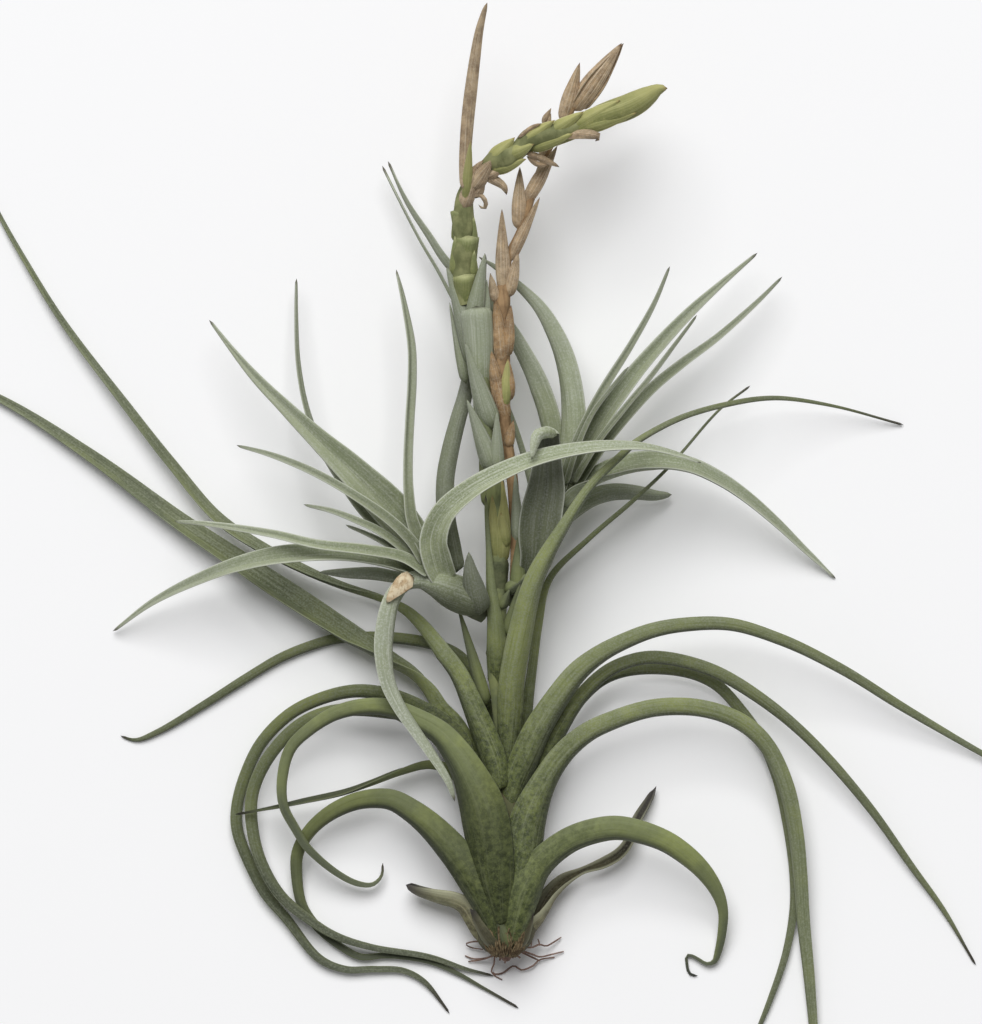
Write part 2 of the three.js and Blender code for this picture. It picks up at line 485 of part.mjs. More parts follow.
// Bracts list their base, their tip and their width: [x, y, z], [x, y, z], width.
const stalkBracts = [
  [[-3, 90, 20.5], [-7.8, 165, 39], 4.6],
  [[-3.5, 118, 31], [-3, 164, 38.5], 6.6],
  [[-5.5, 168, 37], [-12.6, 192.5, 40], 6.6],
  [[-7.8, 182, 37], [-14, 214.5, 40], 6.8],
  [[-2.8, 170, 37], [-3.2, 187.5, 40], 4],
  [[-9.5, 203, 37.5], [-19, 228, 39], 5],
  [[-10.5, 206, 38], [-10.4, 240.5, 42], 7],
  [[-8, 208, 35.5], [-7.6, 235.5, 37], 3.6],
  [[-8.6, 190, 33.5], [-13, 221, 31.5], 6],
  [[-5, 155, 31.5], [-9, 184, 31], 6],
];
const greenSpikeBracts = [
  [[-14, 234, 38.5], [-18.6, 253, 40.5], 6.5],
  [[-13.6, 239, 38.6], [-11.4, 258, 40], 5.5],
  [[-15, 249, 39.5], [-18, 266, 40.5], 6],
  [[-3.6, 278, 44.5], [13, 287.6, 49.5], 6.4],
  [[1, 280.4, 44], [15.5, 281.6, 46], 6],
  [[8, 284, 47], [29, 294, 50], 6.2],
  [[12, 285.4, 45.6], [34, 288.6, 45.4], 4.6],
  [[24, 290.4, 48], [44, 302.4, 49.4], 6.4],
  [[30, 293, 46.4], [49, 298.6, 47.6], 6.4],
  [[4, 281.6, 42], [18.8, 276, 40.4], 3.2],
];
const driedBracts = [
  [[0.6, 176, 34.6], [3, 187, 37], 4],
  [[0.4, 186, 35], [-5.6, 212, 38.6], 7],
  [[1, 193, 35.4], [1, 209, 37.8], 5],
  [[-1.4, 209, 35.4], [-3.2, 230, 38], 6],
  [[-3.2, 226, 35.5], [-5.2, 239, 37.5], 3.4],
  [[-0.8, 232, 35.4], [-1.2, 261, 38], 5],
  [[1, 229, 34.6], [5, 245.6, 35.8], 4],
  [[3, 243, 35.4], [13.3, 266.8, 37.6], 4.6],
  [[4.8, 252.5, 34.8], [5.2, 276, 36.4], 5.6],
  [[8, 262.5, 35], [18.4, 283, 36.4], 5.4],
  [[13, 279, 34.6], [16.3, 296.4, 37], 3.4],
  [[19.4, 292, 35.6], [26.5, 313.6, 39], 5.8],
  [[23, 296.8, 36.4], [41.4, 320.8, 40], 8],
];
// How a bract swells: [part of its length, lift, width], the last two as parts of its full width.
const bractShape = [[0, 0, 0.6], [0.35, 0.14, 1], [0.7, 0.1, 0.7], [1, 0, 0]];
const bractThickness = 1;

const driedStrap = {
  name: 'dried_strap', thickness: 1, roll: [200, 190, 180, 180, 170], curl: [120, 110, 90, 90, 120],
  route: [
    [-14.4, 268.5, 44.5, 3.2], [-14.4, 276, 43.6, 4.2], [-14.2, 284, 43, 4.4], [-13.4, 294, 43, 4.6],
    [-12.3, 304, 43, 4.6],
    [-10.9, 315, 43, 4], [-9.2, 325.5, 43, 3], [-7.4, 332.5, 43.4, 1.8], [-6.4, 335.5, 44.4, 1],
  ],
};

// Roots: [x, y, z] points out of a knob at the foot of the bulb.
const rootThickness = 1;
const rootKnob = [[0, -2, 12, 4.6], [0, -3.6, 11.6, 4], [0, -5.2, 11, 2.4]];
const rootRoutes = [
  [[-1, -2, 11], [-6, -1, 9], [-10, -0.2, 6], [-14.4, -1.4, 3]],
  [[-1, -3, 10], [-7, -5, 7], [-11, -6, 4], [-13.4, -8, 1.2]],
  [[-0.6, -3, 10], [-4, -7, 6], [-5.6, -10.6, 2.4], [-2, -14.6, 0.6]],
  [[0.6, -3, 10], [3.6, -8, 6], [1.6, -12, 2.4], [-3, -14, 0.6]],
  [[1.6, -3, 11], [8, -6.4, 8], [14, -7.4, 4], [19.8, -5.6, 1.4]],
  [[1.6, -2, 12], [8, -3.6, 10], [15, -1.8, 6], [20.4, 0.6, 3]],
  [[1.4, -3, 10], [6.6, -8.6, 6], [12, -10, 2.4], [16.4, -8, 0.6]],
  [[2, -2, 13], [6, -4, 12], [9.4, -1, 10], [9.6, 2.4, 8]],
  [[0, -3, 9], [-1.6, -7, 5], [-1, -10, 1.6], [0.6, -12, 0.6]],
  [[0, -3, 13], [-4, -6, 12], [-8, -8, 7], [-10, -10.6, 1.4]],
  [[0, -3, 13], [4, -6.6, 11], [6, -11, 5], [9, -13.6, 0.6]],
  [[-1, -2, 13], [-6, -3.4, 13], [-9, -3, 10], [-11.6, -4.4, 6]],
];

// The six corners of a channel, as [across, out] from the middle of its section.
function channelSection(leaf, along, width, grow) {
  const thickness = THREE.MathUtils.lerp(leaf.thickness, leafTipThickness, along);
  const wanted = THREE.MathUtils.degToRad(spread(leaf.curl, along)) / 2;
  const tightest = Math.asin(Math.min(1, width / (2 * (thickness + clearance))));
  const halfAngle = Math.min(wanted, tightest);
  const outer = width / (2 * Math.sin(halfAngle));
  const depth = outer * (1 - Math.cos(halfAngle));
  const centre = outer - Math.max(depth, thickness) / 2;
  const outerGrown = outer + grow;
  const innerGrown = Math.max(outer - thickness - grow, tightestInnerRadius);
  const edge = halfAngle + grow / outer;
  const arc = (radius, angle) => [radius * Math.sin(angle), centre - radius * Math.cos(angle)];
  const angles = [-edge, 0, edge];
  return [
    ...angles.map((angle) => arc(outerGrown, angle)),
    ...angles.reverse().map((angle) => arc(innerGrown, angle)),
  ];
}

// The listed width is the one seen from above, so a channel that is turned on its side is
// widened to show it, and its section is shifted level until it is centred on the route.
function channelRing(leaf, along, seenWidth, middle, direction, grow) {
  const opening = openingSide(leaf, along, direction);
  const side = direction.clone().cross(opening);
  const level = new THREE.Vector3(-direction.y, direction.x, 0).normalize();
  const seen = (section) => {
    const reach = section.map(([across, out]) => across * side.dot(level) + out * opening.dot(level));
    const [most, least] = [Math.max(...reach), Math.min(...reach)];
    return { span: most - least, centre: (most + least) / 2 };
  };
  const plain = seen(channelSection(leaf, along, seenWidth, 0));
  const widening = leaf.sideways ? 1 : THREE.MathUtils.clamp(seenWidth / plain.span, 1, mostWidening);
  const width = seenWidth * widening;
  const shift = leaf.sideways ? 0 : -seen(channelSection(leaf, along, width, 0)).centre;
  const centred = middle.clone().addScaledVector(level, shift);
  return channelSection(leaf, along, width, grow).map(([across, out]) =>
    centred.clone().addScaledVector(side, across).addScaledVector(opening, out));
}

// Value at `along` (0 to 1) of a list that is spread evenly from base to tip.
function spread(list, along) {
  const place = along * (list.length - 1);
  const before = Math.min(Math.floor(place), list.length - 2);
  return THREE.MathUtils.lerp(list[before], list[before + 1], place - before);
}

// The way that a channel opens, square to the leaf's direction.
function openingSide(leaf, along, direction) {
  if (leaf.sideways) {
    const side = new THREE.Vector3(...leaf.sideways);
    side.addScaledVector(direction, -side.dot(direction)).normalize();
    return side.cross(direction);
  }
  const up = new THREE.Vector3(0, 0, 1).addScaledVector(direction, -direction.z).normalize();
  const right = direction.clone().cross(up);
  const roll = THREE.MathUtils.degToRad(spread(leaf.roll, along));
  return up.multiplyScalar(Math.cos(roll)).addScaledVector(right, Math.sin(roll));
}

function smoothCurve(route) {
  const points = route.map(([x, y, z]) => new THREE.Vector3(x, y, z));
  return new THREE.CatmullRomCurve3(points, false, 'centripetal');
}

// A leaf as a closed channel, raised wherever it would reach below the surface.
function leafGeometry(leaf, grow = 0) {
  const curve = smoothCurve(leaf.route);
  const widths = leaf.route.map((point) => point[3]);
  const steps = leaf.steps ?? Math.min((leaf.route.length - 1) * stepsPerStretch, mostLeafSteps);
  const rings = [];
  for (let step = 0; step <= steps; step += 1) {
    const along = step / steps;
    const direction = curve.getTangent(along);
    const middle = curve.getPoint(along);
    if (step === 0) middle.addScaledVector(direction, -grow);
    if (step === steps) middle.addScaledVector(direction, grow);
    const ring = channelRing(leaf, along, spread(widths, along), middle, direction, grow);
    const lowest = Math.min(...ring.map((point) => point.z)) + grow;
    if (lowest < 0) ring.forEach((point) => { point.z -= lowest; });
    rings.push(ring);
  }
  return loft(rings, channelCap(rings[0].length));
}

// A closed end for a channel: quads between its outer and inner arc.
function channelCap(count) {
  const faces = [];
  for (let i = 0; i < count / 2 - 1; i += 1) {
    faces.push([i, i + 1, count - 2 - i], [i, count - 2 - i, count - 1 - i]);
  }
  return faces;
}

function roundCap(count) {
  const faces = [];
  for (let i = 1; i < count - 1; i += 1) faces.push([0, i, i + 1]);
  return faces;
}

// A closed surface through rings of points, with the same cap at both ends.
function loft(rings, cap) {
  const count = rings[0].length;
  const last = (rings.length - 1) * count;
  const positions = rings.flatMap((ring) => ring.flatMap((point) => [point.x, point.y, point.z]));
  const faces = [];
  for (let r = 0; r < rings.length - 1; r += 1) {
    for (let i = 0; i < count; i += 1) {
      const a = r * count + i;
      const b = r * count + ((i + 1) % count);
      faces.push([a, b, b + count], [a, b + count, a + count]);
    }
  }
  cap.forEach(([a, b, c]) => {
    faces.push([c, b, a], [last + a, last + b, last + c]);
  });
  const geometry = new THREE.BufferGeometry();
  geometry.setAttribute('position', new THREE.Float32BufferAttribute(positions, 3));
  geometry.setIndex(faces.flat());
  if (enclosedVolume(geometry) < 0) geometry.setIndex(faces.flatMap(([a, b, c]) => [a, c, b]));
  return geometry;
}

function enclosedVolume(geometry) {
  const { position } = geometry.attributes;
  const [a, b, c] = [new THREE.Vector3(), new THREE.Vector3(), new THREE.Vector3()];
  let volume = 0;
  for (let i = 0; i < geometry.index.count; i += 3) {
    a.fromBufferAttribute(position, geometry.index.getX(i));
    b.fromBufferAttribute(position, geometry.index.getX(i + 1));
    c.fromBufferAttribute(position, geometry.index.getX(i + 2));
    volume += a.dot(b.cross(c)) / 6;
  }
  return volume;
}

// A round stem through [x, y, z, radius] points.
function stemGeometry(route, sides, grow = 0) {
  const curve = smoothCurve(route);
  const radii = route.map((point) => point[3]);
  const steps = route.length - 1;
  const rings = [];
  for (let step = 0; step <= steps; step += 1) {
    const along = step / steps;
    const direction = curve.getTangent(along);
    const up = new THREE.Vector3(0, 0, 1).addScaledVector(direction, -direction.z).normalize();
    const right = direction.clone().cross(up);
    const radius = spread(radii, along) + grow;
    const middle = curve.getPoint(along);
    const ring = [];
    for (let i = 0; i < sides; i += 1) {
      const angle = (2 * Math.PI * i) / sides;
      const point = middle.clone().addScaledVector(right, radius * Math.cos(angle));
      ring.push(point.addScaledVector(up, radius * Math.sin(angle)));
    }
    const lowest = Math.min(...ring.map((point) => point.z));
    if (lowest < 0) ring.forEach((point) => { point.z -= lowest; });
    rings.push(ring);
  }
  return loft(rings, roundCap(sides));
}

function toSolid(geometry) {
  const bare = new THREE.BufferGeometry();
  bare.setAttribute('position', geometry.attributes.position);
  bare.setIndex(geometry.index);
  const merged = mergeVertices(bare, weldDistance);
  return new wasm.Manifold(new wasm.Mesh({
    numProp: 3,
    vertProperties: new Float32Array(merged.attributes.position.array),
    triVerts: new Uint32Array(merged.index.array),
  }));
}

function toGeometry(solid) {
  const { vertProperties, triVerts } = solid.getMesh();
  const geometry = new THREE.BufferGeometry();
  geometry.setAttribute('position', new THREE.BufferAttribute(new Float32Array(vertProperties), 3));
  geometry.setIndex(new THREE.BufferAttribute(new Uint32Array(triVerts), 1));
  return geometry;
}

function largestPart(solid) {
  const parts = solid.decompose();
  return parts.reduce((best, part) => (part.volume() > best.volume() ? part : best));
}

const plant = new THREE.Group();
plant.name = 'air_plant';
plant.position.set(0, -restSpotY, 0);

// Pieces already placed, grown by the clearance, so that each later one is trimmed to them.
const placed = [];

function place(name, solid, grown, tint) {
  const bounds = solid.boundingBox();
  const neighbours = placed.filter((other) => boxesMeet(bounds, other.bounds));
  const trimmed = neighbours.reduce((rest, other) => rest.subtract(other.grown), solid);
  const kept = largestPart(trimmed).simplify(slightestDetail);
  const material = new THREE.MeshStandardMaterial({ color: tint, roughness: leafRoughness });
  const mesh = new THREE.Mesh(toGeometry(kept), material);
  mesh.name = name;
  plant.add(mesh);
  placed.push({ grown, bounds: grown.boundingBox() });
}

function boxesMeet(one, other) {
  return [0, 1, 2].every((axis) => one.min[axis] < other.max[axis] && other.min[axis] < one.max[axis]);
}

function placeLeaves(leaves, tint) {
  leaves.forEach((leaf) => {
    place(leaf.name, toSolid(leafGeometry(leaf)), toSolid(leafGeometry(leaf, clearance)), tint);
  });
}

// The bulb: the short stem with the packed leaf bases, turned about Y with a flat side down.
function bulbSolid(grow) {
  const points = bulbProfile.map(([radius, y], i) => {
    const end = i === 0 ? -1 : Number(i === bulbProfile.length - 1);
    return new THREE.Vector2(radius > 0 ? radius + grow : 0, y + end * grow);
  });
  const turned = new THREE.LatheGeometry(points, bulbSides, Math.PI / bulbSides);
  turned.translate(0, 0, bulbRadius * Math.cos(Math.PI / bulbSides));
  turned.deleteAttribute('normal');
  turned.deleteAttribute('uv');
  const merged = mergeVertices(turned, weldDistance);
  if (enclosedVolume(merged) < 0) merged.index.array.reverse();
  return toSolid(merged);
}

function joined(solids) {
  return solids.reduce((whole, solid) => whole.add(solid));
}

// A bract: a short channel that swells in its middle and hugs what it grows from.
function bractLeaf([base, tip, width]) {
  const route = bractShape.map(([part, lift, fullness]) => {
    const [x, y, z] = base.map((value, axis) => THREE.MathUtils.lerp(value, tip[axis], part));
    return [x, y, z + lift * width, Math.max(fullness * width, tipWidth)];
  });
  return { thickness: bractThickness, roll: [180, 180], curl: [130, 120, 60], steps: 4, route };
}

function stemWithBracts(route, sides, bracts, grow = 0) {
  return joined([
    toSolid(stemGeometry(route, sides, grow)),
    ...bracts.map((bract) => toSolid(leafGeometry(bractLeaf(bract), grow))),
  ]);
}

function placeStem(name, route, sides, bracts, tint) {
  place(name, stemWithBracts(route, sides, bracts), stemWithBracts(route, sides, bracts, clearance), tint);
}

function rootBunch(grow) {
  const roots = rootRoutes.map((route) =>
    toSolid(stemGeometry(route.map((point) => [...point, rootThickness / 2]), rootSides, grow)));
  return joined([toSolid(stemGeometry(rootKnob, stemSides, grow)), ...roots]);
}

place('mother_stem', bulbSolid(0), bulbSolid(clearance), tints.stem);
placeStem('flower_stalk', flowerStalkRoute, stemSides, stalkBracts, tints.stem);
placeStem('green_flower_spike', greenSpikeRoute, stemSides, greenSpikeBracts, tints.greenSpike);
placeStem('dried_flower_spike', driedSpikeRoute, thinStemSides, driedBracts, tints.driedBract);
placeStem('left_offset_stem', leftOffsetStemRoute, stemSides, [], tints.stem);
placeStem('right_offset_stem', rightOffsetStemRoute, stemSides, [], tints.stem);
placeLeaves(motherLeaves, tints.motherLeaf);
placeLeaves(witheredLeaves, tints.witheredLeaf);
placeLeaves(leftOffsetLeaves, tints.offsetLeaf);
placeLeaves(rightOffsetLeaves, tints.offsetLeaf);
placeLeaves([driedStrap], tints.driedBract);
place('roots', rootBunch(0), rootBunch(clearance), tints.root);

export default plant;
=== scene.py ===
import math
import random

import bpy
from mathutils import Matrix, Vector, noise


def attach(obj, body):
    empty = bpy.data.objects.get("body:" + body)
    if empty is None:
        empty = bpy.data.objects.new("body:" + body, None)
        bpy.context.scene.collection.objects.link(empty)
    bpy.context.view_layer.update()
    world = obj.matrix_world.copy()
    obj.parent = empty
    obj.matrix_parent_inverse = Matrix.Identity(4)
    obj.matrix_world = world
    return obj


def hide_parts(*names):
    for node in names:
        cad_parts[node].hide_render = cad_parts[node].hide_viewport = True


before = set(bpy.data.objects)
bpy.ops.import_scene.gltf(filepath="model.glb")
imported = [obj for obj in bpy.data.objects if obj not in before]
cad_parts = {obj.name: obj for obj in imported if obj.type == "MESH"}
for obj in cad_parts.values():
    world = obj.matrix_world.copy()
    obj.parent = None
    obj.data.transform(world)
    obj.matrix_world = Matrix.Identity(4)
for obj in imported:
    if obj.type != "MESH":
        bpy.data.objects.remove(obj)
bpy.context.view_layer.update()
print("frame loaded")

mm = 0.001
foot = Vector((0, -26, 0))  # where the foot of the stem lies, seen from the flat spot of the bulb
scene = bpy.context.scene


# A socket of a node tree, with the sums that shaders and geometry trees are written in
class Value:
    def __init__(self, nodes, socket):
        self.nodes = nodes
        self.socket = socket

    def __add__(self, other):
        return self.nodes.math("ADD", self, other)

    def __sub__(self, other):
        return self.nodes.math("SUBTRACT", self, other)

    def __rsub__(self, other):
        return self.nodes.math("SUBTRACT", other, self)

    def __mul__(self, other):
        return self.nodes.math("MULTIPLY", self, other)

    def __truediv__(self, other):
        return self.nodes.math("DIVIDE", self, other)

    def __pow__(self, other):
        return self.nodes.math("POWER", self, other)

    __radd__ = __add__
    __rmul__ = __mul__

    def output(self, name):
        return Value(self.nodes, self.socket.node.outputs[name])


class Nodes:
    def __init__(self, tree):
        self.tree = tree

    # a node of any type: its settings first, then the values or links of its sockets
    def make(self, kind, settings=None, sockets=None):
        node = self.tree.nodes.new(kind)
        for name, setting in (settings or {}).items():
            setattr(node, name, setting)
        for name, value in (sockets or {}).items():
            if isinstance(name, int):
                socket = node.inputs[name]
            else:
                socket = next(s for s in node.inputs if s.enabled and s.name == name)
            if isinstance(value, Value):
                self.tree.links.new(value.socket, socket)
            else:
                socket.default_value = value
        outputs = [socket for socket in node.outputs if socket.enabled]
        return Value(self, outputs[0]) if outputs else None

    def math(self, operation, *values):
        return self.make("ShaderNodeMath", {"operation": operation}, dict(enumerate(values)))

    def added(self, first, second):
        return self.make("ShaderNodeVectorMath", {"operation": "ADD"}, {0: first, 1: second})

    def scaled(self, vector, size):
        return self.make("ShaderNodeVectorMath", {"operation": "SCALE"},
                         {0: vector, "Scale": size})

    def joinXyz(self, x, y, z):
        return self.make("ShaderNodeCombineXYZ", sockets={0: x, 1: y, 2: z})

    # 0 below low, 1 above high, and a soft step in between
    def step(self, value, low, high):
        return self.make("ShaderNodeMapRange", {"interpolation_type": "SMOOTHSTEP"},
                         {"Value": value, "From Min": low, "From Max": high})

    def mix(self, share, first, second, blend="MIX"):
        colours = [(*c, 1.0) if isinstance(c, tuple) else c for c in (first, second)]
        return self.make("ShaderNodeMix", {"data_type": "RGBA", "blend_type": blend},
                         {"Factor": share, "A": colours[0], "B": colours[1]})

    def attribute(self, name):
        return self.make("ShaderNodeAttribute", {"attribute_name": name}).output("Fac")

    def noise(self, place, scale, detail, roughness):
        return self.make("ShaderNodeTexNoise", sockets={
            "Vector": place, "Scale": scale, "Detail": detail, "Roughness": roughness})


# An empty geometry tree with named inputs, and its inputs as values
def geometryTree(name, inputs):
    tree = bpy.data.node_groups.new(name, "GeometryNodeTree")
    tree.interface.new_socket("Geometry", in_out="INPUT", socket_type="NodeSocketGeometry")
    tree.interface.new_socket("Geometry", in_out="OUTPUT", socket_type="NodeSocketGeometry")
    for label, (kind, start) in inputs.items():
        socket = tree.interface.new_socket(label, in_out="INPUT", socket_type=kind)
        if start is not None:
            socket.default_value = start
    nodes = Nodes(tree)
    given = nodes.make("NodeGroupInput")
    return nodes, {label: given.output(label) for label in ["Geometry", *inputs]}


# Every tree ends the same way
def closeTree(nodes, geometry, material):
    smooth = nodes.make("GeometryNodeSetShadeSmooth", sockets={"Geometry": geometry})
    painted = nodes.make("GeometryNodeSetMaterial",
                         sockets={"Geometry": smooth, "Material": material})
    nodes.make("NodeGroupOutput", sockets={"Geometry": painted})
    return nodes.tree


# How leaves, the small bracts and stems are built, with lengths in mm: the points along and
# round a leaf, the least room inside its curl, its thinnest wall, how it sways and twists, and
# how sharp its keel and its fold are
leafBuild = {"spacing": 1.5, "sectionPoints": 25, "gap": 0.3, "leastInner": 0.05,
             "tipThickness": 0.85, "mostWall": 0.92, "leastWidth": 0.4, "mostWidening": 1.7,
             "sway": 0.22, "swayLength": 26, "twist": 4.0, "twistLength": 38,
             "unevenWidth": 0.03, "unevenLength": 17, "roundEnd": 3.0, "wallPower": 5.0,
             "keel": 0.02, "keelSharpness": 60.0, "fold": 0.1, "foldSoftness": 0.006,
             "weld": 0.004}
smallBuild = {"sectionPoints": 17, "keel": 0.03, "bractWall": 0.8, "bractEnd": 0.5}
stemBuild = {"spacing": 1.2, "ribs": 7.0, "ribDepth": 0.03, "sides": 28}


# A leaf: a channel that is swept along a rail. Each point of the rail holds the way to the
# leaf's side and the way that its channel opens, and as form its width, half the angle that
# its section bends through, and its thickness.
def buildLeafTree():
    nodes, given = geometryTree("leafOnRail", {
        "Section Points": ("NodeSocketInt", leafBuild["sectionPoints"]),
        "Keel": ("NodeSocketFloat", leafBuild["keel"]),
        "Fold": ("NodeSocketFloat", leafBuild["fold"]),
        "Silver": ("NodeSocketFloat", 0.0),
        "Shade": ("NodeSocketFloat", 1.0),
        "Deep": ("NodeSocketFloat", 0.0),
        "Material": ("NodeSocketMaterial", None)})
    rail, sectionPoints = given["Geometry"], given["Section Points"]
    stations = nodes.make("GeometryNodeAttributeDomainSize", {"component": "MESH"},
                          {"Geometry": rail})
    grid = nodes.make("GeometryNodeMeshGrid", sockets={
        "Size X": 1.0, "Size Y": 1.0, "Vertices X": stations, "Vertices Y": sectionPoints})
    index = nodes.make("GeometryNodeInputIndex")
    station = nodes.math("FLOOR", (index + 0.5) / sectionPoints)
    turn = (index - station * sectionPoints) / (sectionPoints - 1.0)

    def readRail(name, kind="FLOAT_VECTOR"):
        if name == "position":
            value = nodes.make("GeometryNodeInputPosition")
        else:
            value = nodes.make("GeometryNodeInputNamedAttribute", {"data_type": kind},
                               {"Name": name})
        return nodes.make("GeometryNodeSampleIndex", {"data_type": kind, "domain": "POINT"},
                          {"Geometry": rail, "Value": value, "Index": station})

    form = nodes.make("ShaderNodeSeparateXYZ", sockets={0: readRail("form")})
    width, halfAngle, thickness = form.output("X"), form.output("Y"), form.output("Z")

    # once round the section: out along the back from one margin to the other, and home inside
    across = nodes.math("SINE", (1.0 - nodes.math("ABSOLUTE", turn * 4.0 - 2.0)) * (math.pi / 2))
    inside = nodes.math("GREATER_THAN", turn, 0.5)
    full = 1.0 - nodes.math("ABSOLUTE", across) ** leafBuild["wallPower"]
    wall = thickness * nodes.math("SQRT", full)
    outer = width / (nodes.math("SINE", halfAngle) * 2.0)
    depth = outer * (1.0 - nodes.math("COSINE", halfAngle))
    centre = outer - nodes.math("MAXIMUM", depth, thickness) / 2.0
    keel = nodes.math("EXPONENT", across * across * -leafBuild["keelSharpness"])
    ridge = given["Keel"] * width * keel
    radius = outer - wall * inside + (1.0 - inside) * ridge
    angle = across * halfAngle
    fromFold = nodes.math("SQRT", across * across + leafBuild["foldSoftness"])
    rise = centre - radius * nodes.math("COSINE", angle) + (fromFold - 0.5) * given["Fold"] * width
    place = nodes.added(readRail("position"), nodes.added(
        nodes.scaled(readRail("side"), radius * nodes.math("SINE", angle)),
        nodes.scaled(readRail("opening"), rise)))
    shape = nodes.make("GeometryNodeSetPosition", sockets={"Geometry": grid, "Position": place})
    kept = {"across": across, "inside": inside, "along": readRail("along", "FLOAT"),
            "reach": readRail("reach", "FLOAT"), "lean": readRail("lean", "FLOAT"),
            "silver": given["Silver"], "shade": given["Shade"], "deep": given["Deep"]}
    for name, value in kept.items():
        shape = nodes.make("GeometryNodeStoreNamedAttribute",
                           {"data_type": "FLOAT", "domain": "POINT"},
                           {"Geometry": shape, "Name": name, "Value": value})
    closed = nodes.make("GeometryNodeMergeByDistance",
                        sockets={"Geometry": shape, "Distance": leafBuild["weld"] * mm})
    return closeTree(nodes, closed, given["Material"])


# A stem or a root: a round rod on each line of the rail, as thick as the rail's radius says,
# with ribs along it
def buildStemTree():
    nodes, given = geometryTree("stemOnRail", {
        "Sides": ("NodeSocketInt", stemBuild["sides"]),
        "Ribs": ("NodeSocketFloat", stemBuild["ribs"]),
        "Rib Depth": ("NodeSocketFloat", stemBuild["ribDepth"]),
        "Material": ("NodeSocketMaterial", None)})
    radius = nodes.make("GeometryNodeInputNamedAttribute", {"data_type": "FLOAT"},
                        {"Name": "stemRadius"})
    line = nodes.make("GeometryNodeMeshToCurve", sockets={0: given["Geometry"]})
    circle = nodes.make("GeometryNodeCurvePrimitiveCircle", sockets={
        "Resolution": given["Sides"], "Radius": 1.0})
    turn = nodes.make("GeometryNodeInputIndex") / given["Sides"]
    bulge = 1.0 + given["Rib Depth"] * nodes.math("COSINE", turn * given["Ribs"] * math.tau)
    circle = nodes.make("GeometryNodeSetPosition", sockets={
        "Geometry": circle,
        "Position": nodes.scaled(nodes.make("GeometryNodeInputPosition"), bulge)})
    rod = nodes.make("GeometryNodeCurveToMesh", sockets={
        0: line, 1: circle, "Scale": radius, "Fill Caps": True})
    return closeTree(nodes, rod, given["Material"])


# Runs a tree on a rail and keeps what it grows as a plain mesh
def grow(name, rail, tree, inputs):
    piece = bpy.data.objects.new(name, rail)
    scene.collection.objects.link(piece)
    modifier = piece.modifiers.new("growth", "NODES")
    modifier.node_group = tree
    for socket in tree.interface.items_tree:
        if socket.in_out == "INPUT" and socket.name in inputs:
            modifier[socket.identifier] = inputs[socket.name]
    grown = piece.evaluated_get(bpy.context.evaluated_depsgraph_get())
    mesh = bpy.data.meshes.new_from_object(grown)
    piece.modifiers.remove(modifier)
    piece.data = mesh
    mesh.name = name
    return piece


# Several grown parts become one piece
def joinParts(name, parts):
    bpy.ops.object.select_all(action="DESELECT")
    for part in parts:
        part.select_set(True)
    bpy.context.view_layer.objects.active = parts[0]
    bpy.ops.object.join()
    parts[0].name = parts[0].data.name = name
    return parts[0]


# Every piece rides on the one body and takes the place of its node
def hold(piece, slot, *nodes):
    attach(piece, "root")
    if nodes:
        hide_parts(*nodes)


# A smooth centripetal curve through points, read anywhere from 0 to 1. The number after the
# first three, a width or a radius, runs along with it.
class Route:
    marksPerPoint = 24
    fewestPlaces = 8

    def __init__(self, points):
        self.points = [tuple(point) for point in points]
        first, last = self.points[0], self.points[-1]
        self.spans = ([tuple(2 * a - b for a, b in zip(first, self.points[1]))] + self.points
                      + [tuple(2 * a - b for a, b in zip(last, self.points[-2]))])

    def at(self, along):
        place = along * (len(self.points) - 1)
        before = min(int(place), len(self.points) - 2)
        t = place - before
        p0, p1, p2, p3 = self.spans[before:before + 4]
        d0, d1, d2 = [max((Vector(b[:3]) - Vector(a[:3])).length, 1e-4) ** 0.5
                      for a, b in ((p0, p1), (p1, p2), (p2, p3))]
        values = []
        for a, b, c, d in zip(p0, p1, p2, p3):
            leave = ((b - a) / d0 - (c - a) / (d0 + d1) + (c - b) / d1) * d1
            reach = ((c - b) / d1 - (d - b) / (d1 + d2) + (d - c) / d2) * d1
            values.append(b + leave * t + (3 * (c - b) - 2 * leave - reach) * t ** 2
                          + (2 * (b - c) + leave + reach) * t ** 3)
        return values

    # places that lie evenly along the curve, and how far along it each one is
    def evenPlaces(self, spacing):
        fine = self.marksPerPoint * len(self.points)
        marks = [Vector(self.at(i / fine)[:3]) for i in range(fine + 1)]
        lengths = [0.0]
        for a, b in zip(marks, marks[1:]):
            lengths.append(lengths[-1] + (b - a).length)
        count = max(int(lengths[-1] / spacing), self.fewestPlaces)
        places, i = [], 0
        for n in range(count + 1):
            wanted = lengths[-1] * n / count
            while i < fine - 1 and lengths[i + 1] < wanted:
                i += 1
            share = (wanted - lengths[i]) / max(lengths[i + 1] - lengths[i], 1e-9)
            places.append((min((i + min(share, 1.0)) / fine, 1.0), wanted))
        return places


# A value from a list that is spread evenly from base to tip, eased between its entries
def spread(values, along):
    place = along * (len(values) - 1)
    before = min(int(place), len(values) - 2)
    share = place - before
    smooth = 0.5 * share + 0.5 * share * share * (3 - 2 * share)
    return values[before] + (values[before + 1] - values[before]) * smooth


